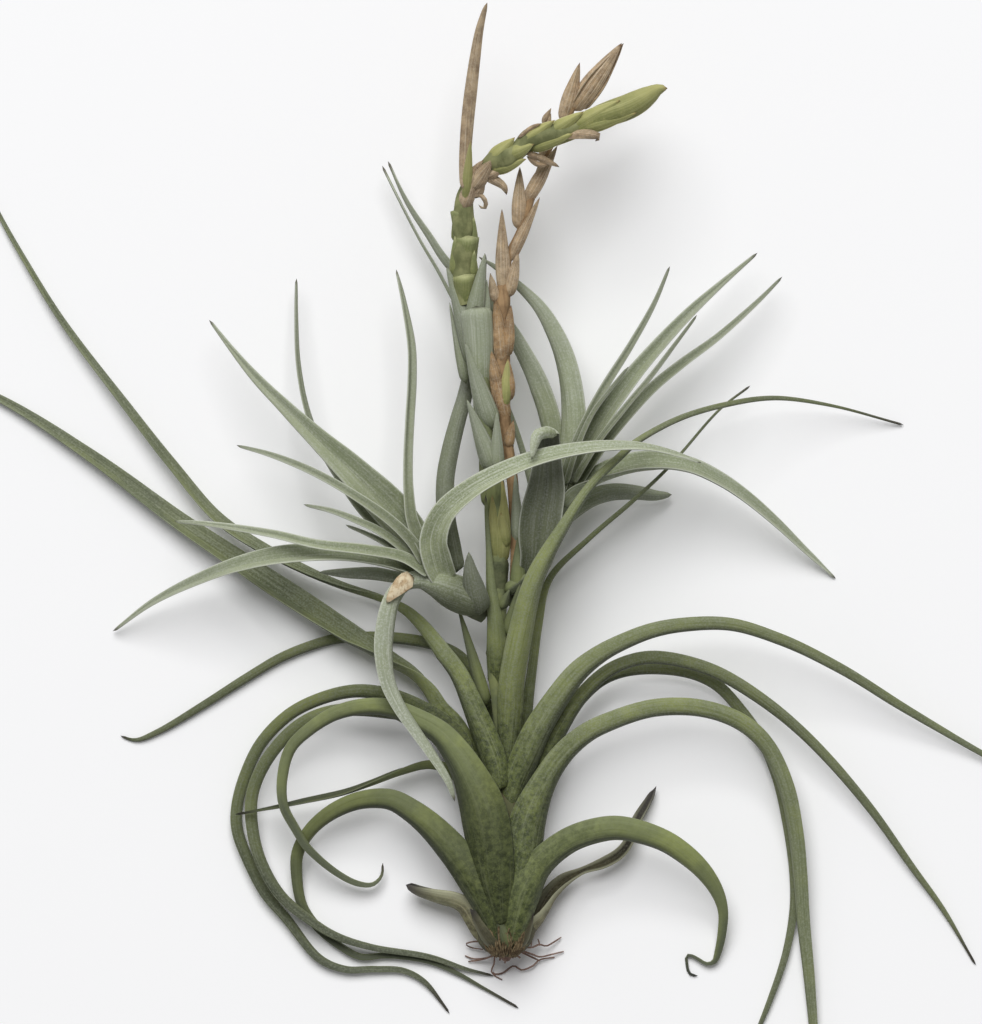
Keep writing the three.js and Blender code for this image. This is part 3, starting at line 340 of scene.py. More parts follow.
def makeRail(name, points, attributes, lines=None):
    mesh = bpy.data.meshes.new(name)
    lines = lines or [range(len(points))]
    edges = [(a, a + 1) for line in lines for a in list(line)[:-1]]
    mesh.from_pydata([Vector(p) * mm for p in points], edges, [])
    for label, values in attributes.items():
        vectors = isinstance(values[0], Vector)
        made = mesh.attributes.new(label, "FLOAT_VECTOR" if vectors else "FLOAT", "POINT")
        flat = [n for v in values for n in v] if vectors else values
        made.data.foreach_set("vector" if vectors else "value", flat)
    return mesh


# The rail of a leaf. Its listed width is the one seen from above, so a channel that is turned
# on its side is widened to show it, and shifted level until it is centred on its route. The
# odd factors of the seed only keep the noise of one leaf apart from the next one's.
def leafRail(leaf, seed):
    route = Route(leaf["route"])
    places = route.evenPlaces(leafBuild["spacing"])
    total = places[-1][1]
    fold = leaf.get("fold", leafBuild["fold"])
    roundEnd = leaf.get("roundEnd", leafBuild["roundEnd"])
    rows = []
    for along, length in places:
        x, y, z, seenWidth = route.at(along)
        before, after = (Vector(route.at(min(max(along + d, 0), 1))[:3]) for d in (-1e-3, 1e-3))
        heading = (after - before).normalized()
        level = Vector((-heading.y, heading.x, 0)).normalized()
        if "sideways" in leaf:
            side = Vector(leaf["sideways"])
            side = (side - heading * side.dot(heading)).normalized()
            opening = side.cross(heading)
        else:
            up = (Vector((0, 0, 1)) - heading * heading.z).normalized()
            right = heading.cross(up)
            unrest = noise.noise(Vector((length / leafBuild["twistLength"], seed * 7.3, 0.5)))
            roll = math.radians(spread(leaf["roll"], along) + leafBuild["twist"] * unrest)
            opening = up * math.cos(roll) + right * math.sin(roll)
            side = heading.cross(opening)
        uneven = noise.noise(Vector((length / leafBuild["unevenLength"], seed * 3.1, 4.5)))
        seenWidth = max(seenWidth, leafBuild["leastWidth"])
        seenWidth *= 1 + leafBuild["unevenWidth"] * uneven
        thickness = leaf["thickness"] + (leafBuild["tipThickness"] - leaf["thickness"]) * along
        bend = math.radians(spread(leaf["curl"], along)) / 2

        def corners(width):
            half = min(bend, math.asin(min(1, width / (2 * (thickness + leafBuild["gap"])))))
            outer = width / (2 * math.sin(half))
            depth = outer * (1 - math.cos(half))
            inner = max(outer - thickness, leafBuild["leastInner"])
            middle = outer - max(depth, thickness) / 2
            section = []
            for r in (outer, inner):
                for a in (-half, 0, half):
                    rise = middle - r * math.cos(a) + fold * width * (0.5 if a else -0.5)
                    section.append(side * (r * math.sin(a)) + opening * rise)
            return half, section

        def seen(width):
            reach = [corner.dot(level) for corner in corners(width)[1]]
            return max(reach) - min(reach), (max(reach) + min(reach)) / 2

        width, shift = seenWidth, 0.0
        if "sideways" not in leaf:
            widening = min(max(seenWidth / seen(seenWidth)[0], 1), leafBuild["mostWidening"])
            width = seenWidth * widening
            shift = -seen(width)[1]
        half, section = corners(width)
        sway = noise.noise(Vector((length / leafBuild["swayLength"], seed * 5.7, 9.1)))
        middle = Vector((x, y, z)) + level * (shift + leafBuild["sway"] * sway)
        lowest = min(corner.z for corner in section) + middle.z
        middle.z -= min(lowest, 0)
        fromEnd = min(length, total - length)
        taper = math.sqrt(max(1 - (1 - min(fromEnd / roundEnd, 1)) ** 2, 0))
        outer = taper * width / (2 * math.sin(half))
        wall = min(thickness, outer * leafBuild["mostWall"])
        form = Vector((taper * width, half / mm, wall)) * mm
        rows.append((middle + foot, side, opening, form, along, length * mm, -side.y))
    points, *columns = zip(*rows)
    names = ("side", "opening", "form", "along", "reach", "lean")
    return makeRail(leaf["node"], points, dict(zip(names, columns)))


leafTree = buildLeafTree()
stemTree = buildStemTree()


# From base to tip, the roll turns a blade's channel over (0 opens up, 180 down) and the curl
# is the angle that its section bends through, both in degrees. A blade that has a sideways
# direction keeps its side that way and has no roll.
def blade(node, thickness, roll, route, curl=(110, 120, 120, 100), **more):
    return {"node": node, "thickness": thickness, "roll": roll, "route": route, "curl": curl,
            **more}


# The leaves of the rosettes, each named after its place
motherLeaves = [
    blade("lower_right", 1.4, [-165, -150, -138, -132, -130, -130, -150], [
        (2.6, -1.5, 18, 4), (3.2, 3, 20, 8), (4.4, 9.5, 22, 11), (6.6, 18, 23.4, 12.4),
        (12, 27.6, 23, 10.4), (23, 36.6, 22.8, 9.4), (34, 40.5, 22.5, 9), (42, 41, 22, 8.6),
        (56, 37, 20.5, 7.8), (64, 32, 18.5, 7.2), (71.4, 25, 15, 5.8), (76.4, 17.4, 11, 4.4),
        (78.4, 10.5, 8, 3.4), (78, 3, 5.4, 3), (76.6, -4, 3, 2.4), (75.2, -7.6, 2, 1.8),
        (72.6, -8.4, 1.6, 1.5), (69, -6.4, 1.3, 1.4), (66.2, -5.3, 1.2, 1.3), (65.2, -5.9, 1, 1.2),
        (65.3, -7.4, 0.9, 1.2), (65.8, -10.8, 0.8, 1.2), (66.6, -12.2, 0.8, 1.1),
        (69.5, -13, 0.7, 1)], curl=[110, 120, 120, 110], silver=0.08, darkTip=True),
    blade("lower_left", 1.4, [165, 150, 140, 132, 130, 130, 130], [
        (-2.6, 0, 19, 4), (-4.2, 6, 21, 7.5), (-6.8, 13, 22.6, 9.6), (-10.4, 20.5, 23, 11.2),
        (-14.4, 27.6, 22, 12), (-19, 33.6, 21, 11.6), (-26, 41, 20.5, 10), (-33.5, 47, 19.5, 8.5),
        (-41, 51, 18, 7.5), (-51, 51, 16, 6.5), (-61.5, 47, 13.5, 5.5), (-70, 40, 10, 4.6),
        (-74.5, 32, 7, 4.2), (-75, 24, 5, 3.8), (-73, 12.5, 3, 3.2), (-67, 4, 1.8, 2.8),
        (-59, -2.5, 1, 2.4), (-52, -6, 0.8, 2.2), (-43.5, -5.5, 0.7, 2), (-36, -6, 0.6, 2),
        (-26, -8, 0.6, 1.8), (-17, -12, 0.6, 1.6), (-6.5, -18, 0.6, 1.3), (5, -24.5, 0.6, 1)],
        silver=0.08, shade=0.72),
    blade("front", 1.4, [168, 162, 150, 135, 132, 130, 130], [
        (-1.6, 6, 22.4, 5), (-2.6, 14, 24.4, 10), (-3.8, 22, 26, 14), (-5.4, 34, 26.6, 16.6),
        (-7.2, 44, 26.5, 17), (-9.4, 52, 26, 15.6), (-13, 60.5, 25.6, 12.6),
        (-17.4, 68, 25.2, 10.4), (-23.4, 75, 25, 8.8), (-33.5, 81, 24.5, 7.4), (-41, 84, 24, 6.6),
        (-51, 84.5, 23.5, 5.8), (-61, 82, 22.5, 5), (-70.5, 76, 21.5, 4.4), (-77, 69.5, 20.5, 4),
        (-80, 59, 19, 3.6), (-79.5, 49, 17, 3.2), (-75, 40, 14, 2.9), (-71, 33.5, 12, 2.6),
        (-61.5, 25, 8, 2.2), (-53, 20.5, 5.5, 1.9), (-47.5, 20.2, 4.5, 1.6), (-44.3, 23.5, 4, 1.3),
        (-44, 28, 4, 1)], curl=[90, 110, 120, 110], silver=0.08, deep=0.34),
    blade("right_front", 1.4, [-165, -152, -140, -134, -130, -130, -130], [
        (4.2, 16, 22, 9), (6.2, 30, 23.2, 13.6), (8.2, 44, 23.2, 13), (13.6, 57, 22.8, 9.6),
        (21, 68, 22.5, 8), (29, 75, 23, 7.2), (37, 79, 23, 6.8), (53.5, 84, 22, 6.2),
        (70, 84, 20.5, 6), (84.5, 79, 18.5, 5.8), (94, 70.5, 16, 5.6), (101, 56, 12.5, 5.4),
        (104.5, 40, 9.5, 5), (106.5, 23, 7.5, 4.6), (107.5, 6, 5.5, 4.2), (109.5, -14, 4, 3.7),
        (111, -32, 2.5, 3), (112, -49, 1.5, 2), (113, -65, 0.7, 1)], curl=[100, 120, 120, 100],),
    blade("far_right", 1.4, [-170, -155, -142, -136, -132, -130], [
        (1.5, 48, 19.5, 7), (4, 58, 20.5, 9.5), (7.5, 67, 21.5, 10.5), (11.5, 76, 22.5, 10),
        (18, 86.5, 24, 8.8), (26, 97, 25.5, 7.6), (34, 103.5, 27, 6.6), (42.5, 108, 28, 5.9),
        (53, 112, 28.5, 5.4), (64.5, 114, 28, 5), (81, 114, 26, 4.5), (98, 108.8, 21.5, 4),
        (120, 98.3, 15, 3.5), (142, 84.6, 9, 3), (172, 67, 3, 2), (200, 52, 0.7, 1)]),
    blade("front_far_left", 1.4, [180, 150, 100, 55, 30, 20], [
        (-2.5, 54, 22.5, 8), (-4, 64, 22.8, 9.5), (-8, 76, 22.8, 8.8), (-12, 86, 22.5, 7.6),
        (-16.5, 96, 21.5, 6.6), (-22, 104, 20, 5.6), (-31, 115, 15, 4.6), (-37, 120, 12, 4),
        (-45, 123.5, 10.5, 3.5), (-59, 128, 9, 3.2), (-74, 134.5, 8.5, 3.4), (-88, 142, 8, 3.8),
        (-104, 153, 7, 4), (-121, 173, 6, 3.7), (-142, 200, 5, 3), (-160, 224, 3.5, 2.4),
        (-182, 261, 1.5, 1.5), (-187, 272, 0.7, 1)], curl=[110, 120, 110, 100],
        fold=0.14),
    blade("beside_stalk", 1.4, [-180, -175, -168, -150, -140, -130, -120], [
        (0.6, 57, 15.4, 5), (0.8, 65, 17, 7), (1.4, 77, 20, 8.4), (1.8, 84, 22, 9.4),
        (2.4, 93.5, 26, 9.3), (5.5, 111, 33, 8.8), (10.5, 130, 40, 7.2), (21, 149.5, 44, 4.3),
        (30.5, 163.5, 42.5, 3.3), (41.5, 174.5, 39, 2.7), (46.5, 179, 37, 2.4),
        (63.5, 188, 31, 2.1), (80.5, 193, 25, 1.9), (97.5, 195, 18, 1.7), (119, 192, 9, 1.4),
        (143.5, 185.5, 0.7, 0.9)], curl=[110, 120, 120, 120, 100]),
    blade("far_left", 1.3, [150, 115, 75, 45, 30, 20], [
        (-7, 52, 14, 6), (-12, 67, 13, 7), (-18, 78, 12, 6.6), (-23, 84, 11, 6),
        (-27, 90.5, 10.4, 5.8), (-33, 96.6, 10, 5.2), (-40, 101, 9.4, 5.6), (-50, 107.5, 8.8, 6.4),
        (-61, 114.3, 8.2, 7.4), (-74, 122.5, 7.4, 8.2), (-88, 131.5, 6.6, 8), (-117, 151, 5, 6.4),
        (-149, 174.5, 3.5, 4.6), (-182, 195, 2, 2.8), (-218, 209, 0.7, 1)],
        curl=[110, 110, 100, 90], fold=0.14),
    blade("outer_left_arc", 1.2, [150, 140, 135, 132, 130, 130, 130], [
        (-11, 54, 19, 6), (-16, 72, 18, 6.6), (-21, 78, 17.5, 6), (-28, 83, 16.5, 5.4),
        (-37.5, 87.4, 14.5, 5), (-46, 89.4, 12.5, 4.8), (-55, 89.8, 10.5, 4.6),
        (-66.5, 87, 8, 4.4), (-77.5, 81.4, 6, 4.2), (-87.5, 71.4, 4.6, 4), (-93.5, 59.5, 3.9, 4),
        (-96.5, 48.5, 3.4, 3.9), (-96.5, 40, 3, 3.8), (-92.5, 28.5, 2.6, 3.6),
        (-86.5, 17, 2.3, 3.4), (-79, 8, 2, 3.1), (-67, -6.5, 1.3, 2.7), (-57.5, -10.5, 1, 2.4),
        (-47, -10.5, 0.8, 2.2), (-36.5, -11, 0.7, 2), (-29, -15, 0.6, 1.8), (-20, -26.5, 0.6, 1)],
        shade=0.72),
    blade("second_left_arc", 1.2, [150, 140, 135, 132, 130, 130, 130], [
        (-11.5, 48, 14, 5.5), (-16, 63, 11.5, 5.5), (-24, 74, 10.5, 5.2), (-33, 80.5, 11, 5),
        (-43, 82.4, 12, 4.8), (-53, 83.2, 12.4, 4.6), (-62, 82.6, 12.2, 4.5),
        (-71, 79.5, 11.4, 4.4), (-79, 73.5, 10.4, 4.3), (-87, 63, 9, 4.3), (-91, 52.5, 8, 4.2),
        (-91, 41, 7.6, 4), (-88, 28.5, 7.4, 3.7), (-81, 16.5, 7.2, 3.4), (-71, 8, 6.9, 3),
        (-61.5, 2, 5.9, 2.6), (-48, -2.5, 4.3, 2.2), (-27, -6, 3, 1.9), (-13.5, -10.5, 1.6, 1.4),
        (-4, -13, 0.7, 1)], shade=0.72),
    blade("back_left", 1.1, [130, 120, 80, 50, 40], [
        (-12, 46, 8, 4), (-14, 54, 7.6, 4.4), (-19, 61, 7.6, 4), (-27, 63.6, 8.2, 3.6),
        (-37.5, 61, 9.6, 3.2), (-48, 57, 11, 2.7), (-58, 53.6, 12, 2.3), (-72, 50.6, 12.8, 1.9),
        (-82.5, 48.3, 12.8, 1.5), (-97, 45.5, 11.5, 0.8)], curl=[110, 120, 110, 100], silver=0.2,
        shade=-0.45, fold=0.16),
    blade("right_second", 1.2, [-160, -145, -138, -134, -130, -130], [
        (8, 50, 14.5, 6), (13, 63, 15, 6.5), (20, 77, 15.6, 6), (26, 86.5, 16, 5.4),
        (34.5, 95.5, 16.5, 5), (41, 99.5, 17, 4.8), (50, 102, 17, 4.7), (60, 101.5, 16.6, 4.6),
        (75.5, 97, 15.2, 4.4), (92, 87, 12.6, 4), (109, 73, 10, 3.5), (131, 48, 6, 2.9),
        (147.5, 25, 3, 2.3), (159, 9, 1.6, 1.7), (169.5, -9, 0.6, 1)], shade=0.85),
    blade("right_third", 1.2, [-150, -140, -135, -132, -130, -130], [
        (8, 48, 8.5, 6), (14, 62, 8.5, 5.8), (20, 77, 8.6, 5), (31, 91, 8.8, 4.6),
        (38, 95.5, 9, 4.4), (48, 97.8, 9, 4.3), (64.5, 97, 8.4, 4.2), (75.5, 92.5, 7.4, 4),
        (84.5, 83.5, 5.8, 3.8), (92, 73, 4.2, 3.6), (98, 58, 2.8, 3.4), (102, 40, 2.2, 3.2),
        (104, 24, 1.8, 3), (104, 12, 1.5, 2.8), (101, -5, 1.2, 2.4), (95.5, -21.5, 0.9, 1.9),
        (92, -30, 0.8, 1.6), (84.5, -47, 0.6, 1)], shade=0.75),
    blade("back_far_left", 1.1, [165, 150, 140, 135, 130, 130], [
        (-4, 54, 8.5, 5), (-5, 68, 8.3, 5), (-6, 80, 8, 4.8), (-10, 94, 7.2, 4.4),
        (-16, 102, 6.4, 4.2), (-24, 106, 5.2, 4.1), (-37, 108.5, 3.8, 4), (-49, 109.2, 2.8, 3.8),
        (-61, 108.5, 2.2, 3.6), (-70, 106, 2, 3.4), (-81, 101.5, 1.9, 3.2), (-93, 94.5, 1.8, 3),
        (-109, 84.5, 1.4, 2.6), (-125, 75, 1, 2), (-133, 72, 0.7, 1.5), (-138.5, 73.5, 0.6, 1)],
        curl=[110, 120, 120, 110], shade=0.8),
    blade("behind_stalk", 1.1, [-160, -150, -140, -135, -130], [
        (4.5, 52, 7.5, 5), (6, 66, 6.6, 5), (7.5, 80, 8, 4.4), (9.5, 96, 10, 3.6),
        (12, 114, 12, 3), (16, 130, 14, 2.4), (29.5, 144, 16.4, 1.9), (45, 157.5, 19.4, 1.6),
        (57.5, 169, 20, 1.4), (63.5, 175.5, 19.4, 1.3), (77, 191, 17, 1.1), (88, 199.5, 14, 0.8)],
        curl=[120, 130, 120, 110], shade=0.9),
]

# Their insides are darkened by a shade below zero: painted shade in the hollow of the curled
# blades
witheredLeaves = [
    blade("right", 1.1, [-120, -60, -40, -40, -60], [
        (5.5, -2, 14, 4), (8, 3, 13, 5), (11.4, 9, 11, 5.8), (15.5, 16.5, 8.4, 5.4),
        (21, 22, 7, 4.4), (27.5, 25.2, 6.4, 2.4), (35, 28, 6, 3.6), (41, 31.5, 5.4, 3.8),
        (44.5, 36, 5, 3.4), (47, 43, 4.4, 3.3), (51.5, 50.5, 3.4, 2.4), (54.5, 55.5, 2.6, 1)],
        curl=[160, 176, 150, 150], shade=-0.62, fold=0.05),
    blade("left", 1.1, [118, 108, 96, 84], [
        (-5.5, -1, 14, 4), (-9, 4, 13, 6), (-11.8, 9, 12, 6.4), (-14.4, 12.8, 11, 6.2),
        (-18, 14.8, 10, 5.8), (-23.5, 16, 9.4, 5.4), (-30.5, 18, 9, 4.8), (-35.5, 20.5, 9, 3.6)],
        curl=[160, 178, 178, 130], shade=-0.42, fold=0.05),
]

leftOffsetLeaves = [
    blade("front_arch", 1.2, [10, -10, -35, -45, -45, -50], [
        (-21, 129, 37, 9), (-24, 136, 41.5, 10.5), (-25.5, 144, 45, 10), (-22, 153.5, 48, 8.6),
        (-12, 162.5, 50.5, 7.2), (-1.5, 168.5, 51.5, 6.3), (11, 173.5, 51.5, 5.5),
        (27.5, 177, 50, 4.4), (41.5, 178, 47.5, 3.4), (51, 177.3, 45, 2.5), (63.5, 174, 41, 1.6),
        (70, 171.5, 39, 1)], curl=[90, 110, 120, 100], silver=0.42),
    blade("drooping", 1.2, [178, 172, 160, 135, 120, 115, 110], [
        (-6, 119.6, 33, 7), (-9, 121.4, 35.4, 11), (-13.6, 123.4, 37.2, 13),
        (-19.4, 126, 38.4, 12.4), (-25.2, 128.6, 38.6, 9.4), (-30.6, 130, 38, 6.8),
        (-36.4, 128.4, 37, 5.8), (-40.8, 122.6, 36, 5.8), (-43, 114.5, 34.6, 6),
        (-43.8, 105, 33, 6), (-42.2, 93.8, 32, 5.2), (-38.2, 85, 31.8, 4.6),
        (-32.9, 77, 31.4, 4.2), (-25.9, 66.8, 31, 3.6), (-20.3, 57.6, 30.5, 2.8),
        (-18, 50.6, 29.5, 1.2)], curl=[120, 130, 120, 110], silver=0.5, deep=0.42),
    blade("broad", 1.2, [25, 5, -5, -10], [
        (-24, 135, 33, 8), (-32.5, 145, 34, 12), (-42, 156.5, 34.5, 13.4), (-53.5, 168, 35, 11),
        (-65.5, 179, 34, 7.9), (-78, 191, 31, 5.4), (-88, 201, 27, 3.9), (-97.5, 212, 22, 2.2),
        (-106, 223, 17, 1)], curl=[70, 55, 60, 80], shade=-0.82, fold=0.16),
    blade("behind_broad", 1.0, [60, 40, 30], [
        (-24.5, 131.5, 30, 3), (-30, 137, 26, 3), (-38, 144, 24.5, 2.8), (-49, 152.5, 23.5, 3),
        (-58, 164, 22, 2.6), (-65.5, 176.5, 20.5, 2.4), (-71, 191, 18.5, 2.1), (-74, 207, 16, 1.8),
        (-75, 225, 12, 1.4), (-75, 238, 9, 1)], curl=[120, 120, 100], shade=-0.6),
    blade("upright", 1.1, [20, 10, 30, 40], [
        (-26, 136.5, 38, 5.5), (-29.5, 143, 40, 5), (-33, 151, 41, 4.4), (-34.5, 162.5, 40, 3.7),
        (-34.7, 174, 38, 3.4), (-34, 187, 35.5, 3.3), (-33.2, 201.5, 32, 3.2),
        (-33.4, 214, 29, 2.9), (-36, 228.5, 24, 2), (-39, 241, 20, 1)], curl=[110, 140, 140, 110],
        shade=-0.7),
    blade("upper_left", 1.0, [20, 20, 30], [
        (-28, 135.5, 39.5, 4.6), (-33, 143.5, 41.8, 4.2), (-40, 150.5, 42.6, 3.8),
        (-52, 159, 42.2, 3.3), (-67.5, 168, 39, 2.9), (-83.5, 174.5, 34, 2.1), (-96, 178, 29, 1)],
        curl=[110, 140, 110], shade=-0.72),
    blade("left_short", 1.0, [30, 20, 20], [
        (-28, 133.5, 38.5, 3.6), (-36, 141, 40, 3.2), (-45, 147.5, 40, 2.9),
        (-52, 150.8, 39.5, 2.6), (-61.5, 154.5, 37.5, 2), (-72, 156.8, 34, 1)],
        curl=[110, 130, 110], shade=-0.74),
    blade("left_shortest", 1.0, [20, 20], [
        (-29, 133.5, 35, 3), (-36, 139, 36, 2.6), (-43, 143, 36, 2.2), (-50, 146.6, 35.5, 1.6),
        (-57, 149.5, 34.5, 1)], curl=[100, 100], shade=-0.66),
    blade("left_long", 1.1, [40, 30, 20, 20], [
        (-26.5, 132, 40, 4.2), (-36, 138, 41.6, 4), (-50, 140.8, 41, 3.8), (-67.5, 142.8, 38, 3.4),
        (-83.5, 146.5, 34, 3), (-107, 150, 26.5, 1.9), (-118.5, 150.7, 22, 1)],
        curl=[110, 140, 130, 100], shade=-0.88),
    blade("far_left", 1.1, [60, 40, 30, 30], [
        (-27, 130.5, 35, 4.6), (-36, 135.5, 35, 5.2), (-46, 138.2, 34.5, 5.8),
        (-59.5, 140, 33.5, 6.2), (-80, 139, 31, 6.4), (-96, 135.5, 27, 5.4),
        (-111.5, 129.5, 20.5, 4), (-127, 121.5, 12, 2.4), (-141, 111, 2.5, 1)],
        curl=[110, 120, 110, 100], shade=-0.86),
    blade("grey_under", 1.0, [180, 180, 180], [
        (-24.5, 129.5, 31, 3), (-29, 129.5, 28.6, 3.8), (-38, 130.5, 27, 4.4),
        (-46.5, 132, 25.5, 4.8), (-57.5, 132.3, 23, 3.6), (-66.5, 132.6, 20, 1)],
        curl=[90, 100, 90], shade=0.8),
    # its back is darkened by its shade: painted shade where it lies behind the stalk
    blade("behind_stalk", 1.1, [160, 170, 180, 180], [
        (-17, 132.5, 31.5, 6), (-19, 141, 33, 6.6), (-21, 152, 34, 6.6), (-21.3, 165.5, 33, 6.6),
        (-19.5, 176.5, 31, 6.4), (-17, 186.5, 27.5, 6), (-14, 197.5, 24, 5.4),
        (-9.5, 222, 20.5, 4), (-7, 246.5, 18, 1)], curl=[100, 120, 130, 110], silver=0.35,
        shade=0.5),
    blade("small_front", 1.1, [180, 180], [
        (-9, 117.4, 33.6, 7.6), (-9.8, 121.4, 37.4, 8.8), (-11, 126.6, 40, 8),
        (-12.2, 132.6, 41.8, 5.4), (-12.9, 140, 42, 1)], curl=[110, 100], silver=0.4, shade=0.42),
]

rightOffsetLeaves = [
    # its inside is darkened by its shade: painted shade where the leaves above shadow the cup
    blade("cup", 1.2, None, [
        (8, 127.5, 29, 6), (9.6, 133, 31.8, 9.6), (11.4, 139, 34, 12.4), (12, 146, 35.5, 14.6),
        (13, 154, 36.5, 15), (14.5, 162, 37, 13.6), (15, 170, 37.4, 11), (15.2, 177, 39, 9.6),
        (15, 181.4, 43, 9), (14.8, 183.2, 47.5, 9), (14.4, 183, 51, 8.4)],
        curl=[110, 120, 120, 120, 110], silver=0.5, shade=-0.4, fold=0.02, roundEnd=1.2,
        sideways=(1, 0, 0)),
    blade("arch_right", 1.2, [-100, -60, -45, -45, -50], [
        (20, 156.5, 30, 7), (26, 163, 30.5, 7.4), (34, 168.2, 30.5, 7.2), (45, 172, 29, 6.8),
        (55, 173, 27.5, 6.2), (66.5, 171, 25.5, 5.4), (76.5, 166.5, 22, 4.8), (85, 161, 18.5, 4.2),
        (97.5, 150.5, 11.5, 3.2), (108, 140.5, 5.5, 2.2), (119, 130, 0.6, 1)],
        curl=[100, 120, 130, 110], shade=-0.92),
    blade("curved_up", 1.2, [170, 165, 150, 130, 120, 110], [
        (18.5, 151, 27, 7), (20, 160, 28, 8.2), (22.3, 168, 28.6, 8.8), (24.2, 180, 28.6, 8.8),
        (24.6, 190, 28, 8.6), (23.5, 200.5, 27.2, 7.8), (21, 211, 26.4, 6.6),
        (17.5, 219.5, 25.8, 5.4), (12.5, 227.5, 25, 4.4), (4.5, 235.5, 24, 3.1),
        (-3, 241.5, 23, 2.1), (-9.5, 245.5, 22.4, 1)], curl=[90, 110, 120, 110], shade=0.88),
    blade("crossing_behind", 1.1, [160, 140, 120, 100, 90], [
        (14.5, 152, 22, 6), (16.5, 165, 23, 7), (17.5, 179, 23, 7.2), (16, 189, 22.4, 7),
        (12.5, 200, 21.6, 6.4), (7, 211, 20.6, 5.6), (1, 220.5, 19.6, 5), (-9, 232, 18.4, 4.3),
        (-21, 244, 17.4, 3.7), (-27, 253, 16.6, 3.2), (-34.5, 264.5, 15.4, 2.4),
        (-42, 280, 14, 1)], curl=[110, 130, 130, 110], shade=0.76),
    blade("crossing_thin", 1.0, [160, 120, 90], [
        (13.5, 145, 24, 3.4), (12, 151.5, 19.5, 3.4), (9, 166, 17.6, 2.6), (3.5, 185, 16.2, 2),
        (-4, 202, 15, 1.8), (-11.5, 217, 14, 1.7), (-18, 229.5, 13.2, 1.6),
        (-23.5, 240, 12.6, 1.6), (-30, 251, 12, 1.5), (-36, 262.5, 11.4, 1.3),
        (-44, 278.5, 10.5, 1)], curl=[110, 110, 100], shade=0.76),
    blade("fan_first", 1.0, [-20, -10, 0], [
        (19.5, 160, 31.5, 3.6), (22.5, 171, 33, 3.6), (27, 182.5, 33.6, 3.4),
        (34.5, 197, 33.4, 3.2), (45, 214, 32, 2.6), (53, 228, 29.5, 1.9), (59, 242, 26, 1)],
        curl=[110, 130, 110], shade=-0.64),
    blade("fan_broad", 1.1, [-30, -20, -10, -10], [
        (21.5, 160, 28.5, 4.6), (25, 171, 29.5, 5.8), (31, 182.5, 30, 6.6),
        (40.5, 196.5, 29.8, 6.4), (51, 209.5, 28.5, 5.4), (63.5, 223, 26, 4.2),
        (76.5, 235, 22.5, 2.6), (90.5, 247, 18, 1)], curl=[100, 120, 120, 100], shade=-0.8),
    blade("fan_right", 1.0, [-40, -30, -20], [
        (24, 161.5, 26, 4), (29.5, 170.5, 26.6, 4.4), (38, 182.5, 26.6, 4.4), (51, 197, 25.4, 4),
        (63.5, 207.5, 23.2, 3.4), (76.5, 217, 20, 2.7), (89, 228, 16.5, 1.9),
        (99.5, 238.5, 13, 1)], curl=[110, 130, 110], shade=-0.68),
    blade("fan_thin", 1.0, [-20, -10], [
        (24, 164, 32.6, 2.4), (29, 172.5, 34, 2.4), (34.5, 181, 34.8, 2.3), (42.5, 191, 35, 2.2),
        (52.5, 203, 34.4, 1.9), (61, 214.5, 33, 1.5), (68.5, 224.5, 31, 1)], curl=[110, 110],
        shade=-0.62),
    blade("fan_short", 1.0, [-20, -10], [
        (21.5, 163.5, 34, 2.2), (25.5, 177, 37.2, 2), (31, 189, 37.8, 1.8), (38, 198.5, 37.2, 1.5),
        (44, 206, 36, 1)], curl=[110, 100], shade=-0.62),
    blade("short_curled", 1.2, [-150, -150, -165, -185], [
        (19, 150, 24, 6), (25, 155.5, 21, 6.8), (31.5, 159.4, 17, 6.6), (38.5, 161.2, 13.6, 6.4),
        (47, 161, 10, 5.4), (54, 160, 6, 4), (60, 160.3, 2.4, 1.6)], curl=[110, 120, 120, 90],
        shade=0.8),
]


# Colours are written as they look on a screen, from 0 to 255
def tint(*parts):
    return tuple((p / 255 / 12.92) if p <= 10 else ((p / 255 + 0.055) / 1.055) ** 2.4
                 for p in parts)


def newMaterial(name):
    material = bpy.data.materials.new(name)
    material.use_nodes = True
    material.node_tree.nodes.clear()
    return material, Nodes(material.node_tree)


def finish(nodes, colour, roughness, height, relief):
    bump = nodes.make("ShaderNodeBump", sockets={
        "Strength": 1.0, "Distance": relief * mm, "Height": height})
    shader = nodes.make("ShaderNodeBsdfPrincipled", sockets={
        "Base Color": colour, "Roughness": roughness, "Normal": bump,
        "Specular IOR Level": 0.16})
    nodes.make("ShaderNodeOutputMaterial", sockets={"Surface": shader})


# How fine the grain of a leaf is: along its veins, and of its specks, clouds and dots
grain = {"alongVeins": 30.0, "specks": 1500.0, "clouds": 55.0, "dots": 760.0}
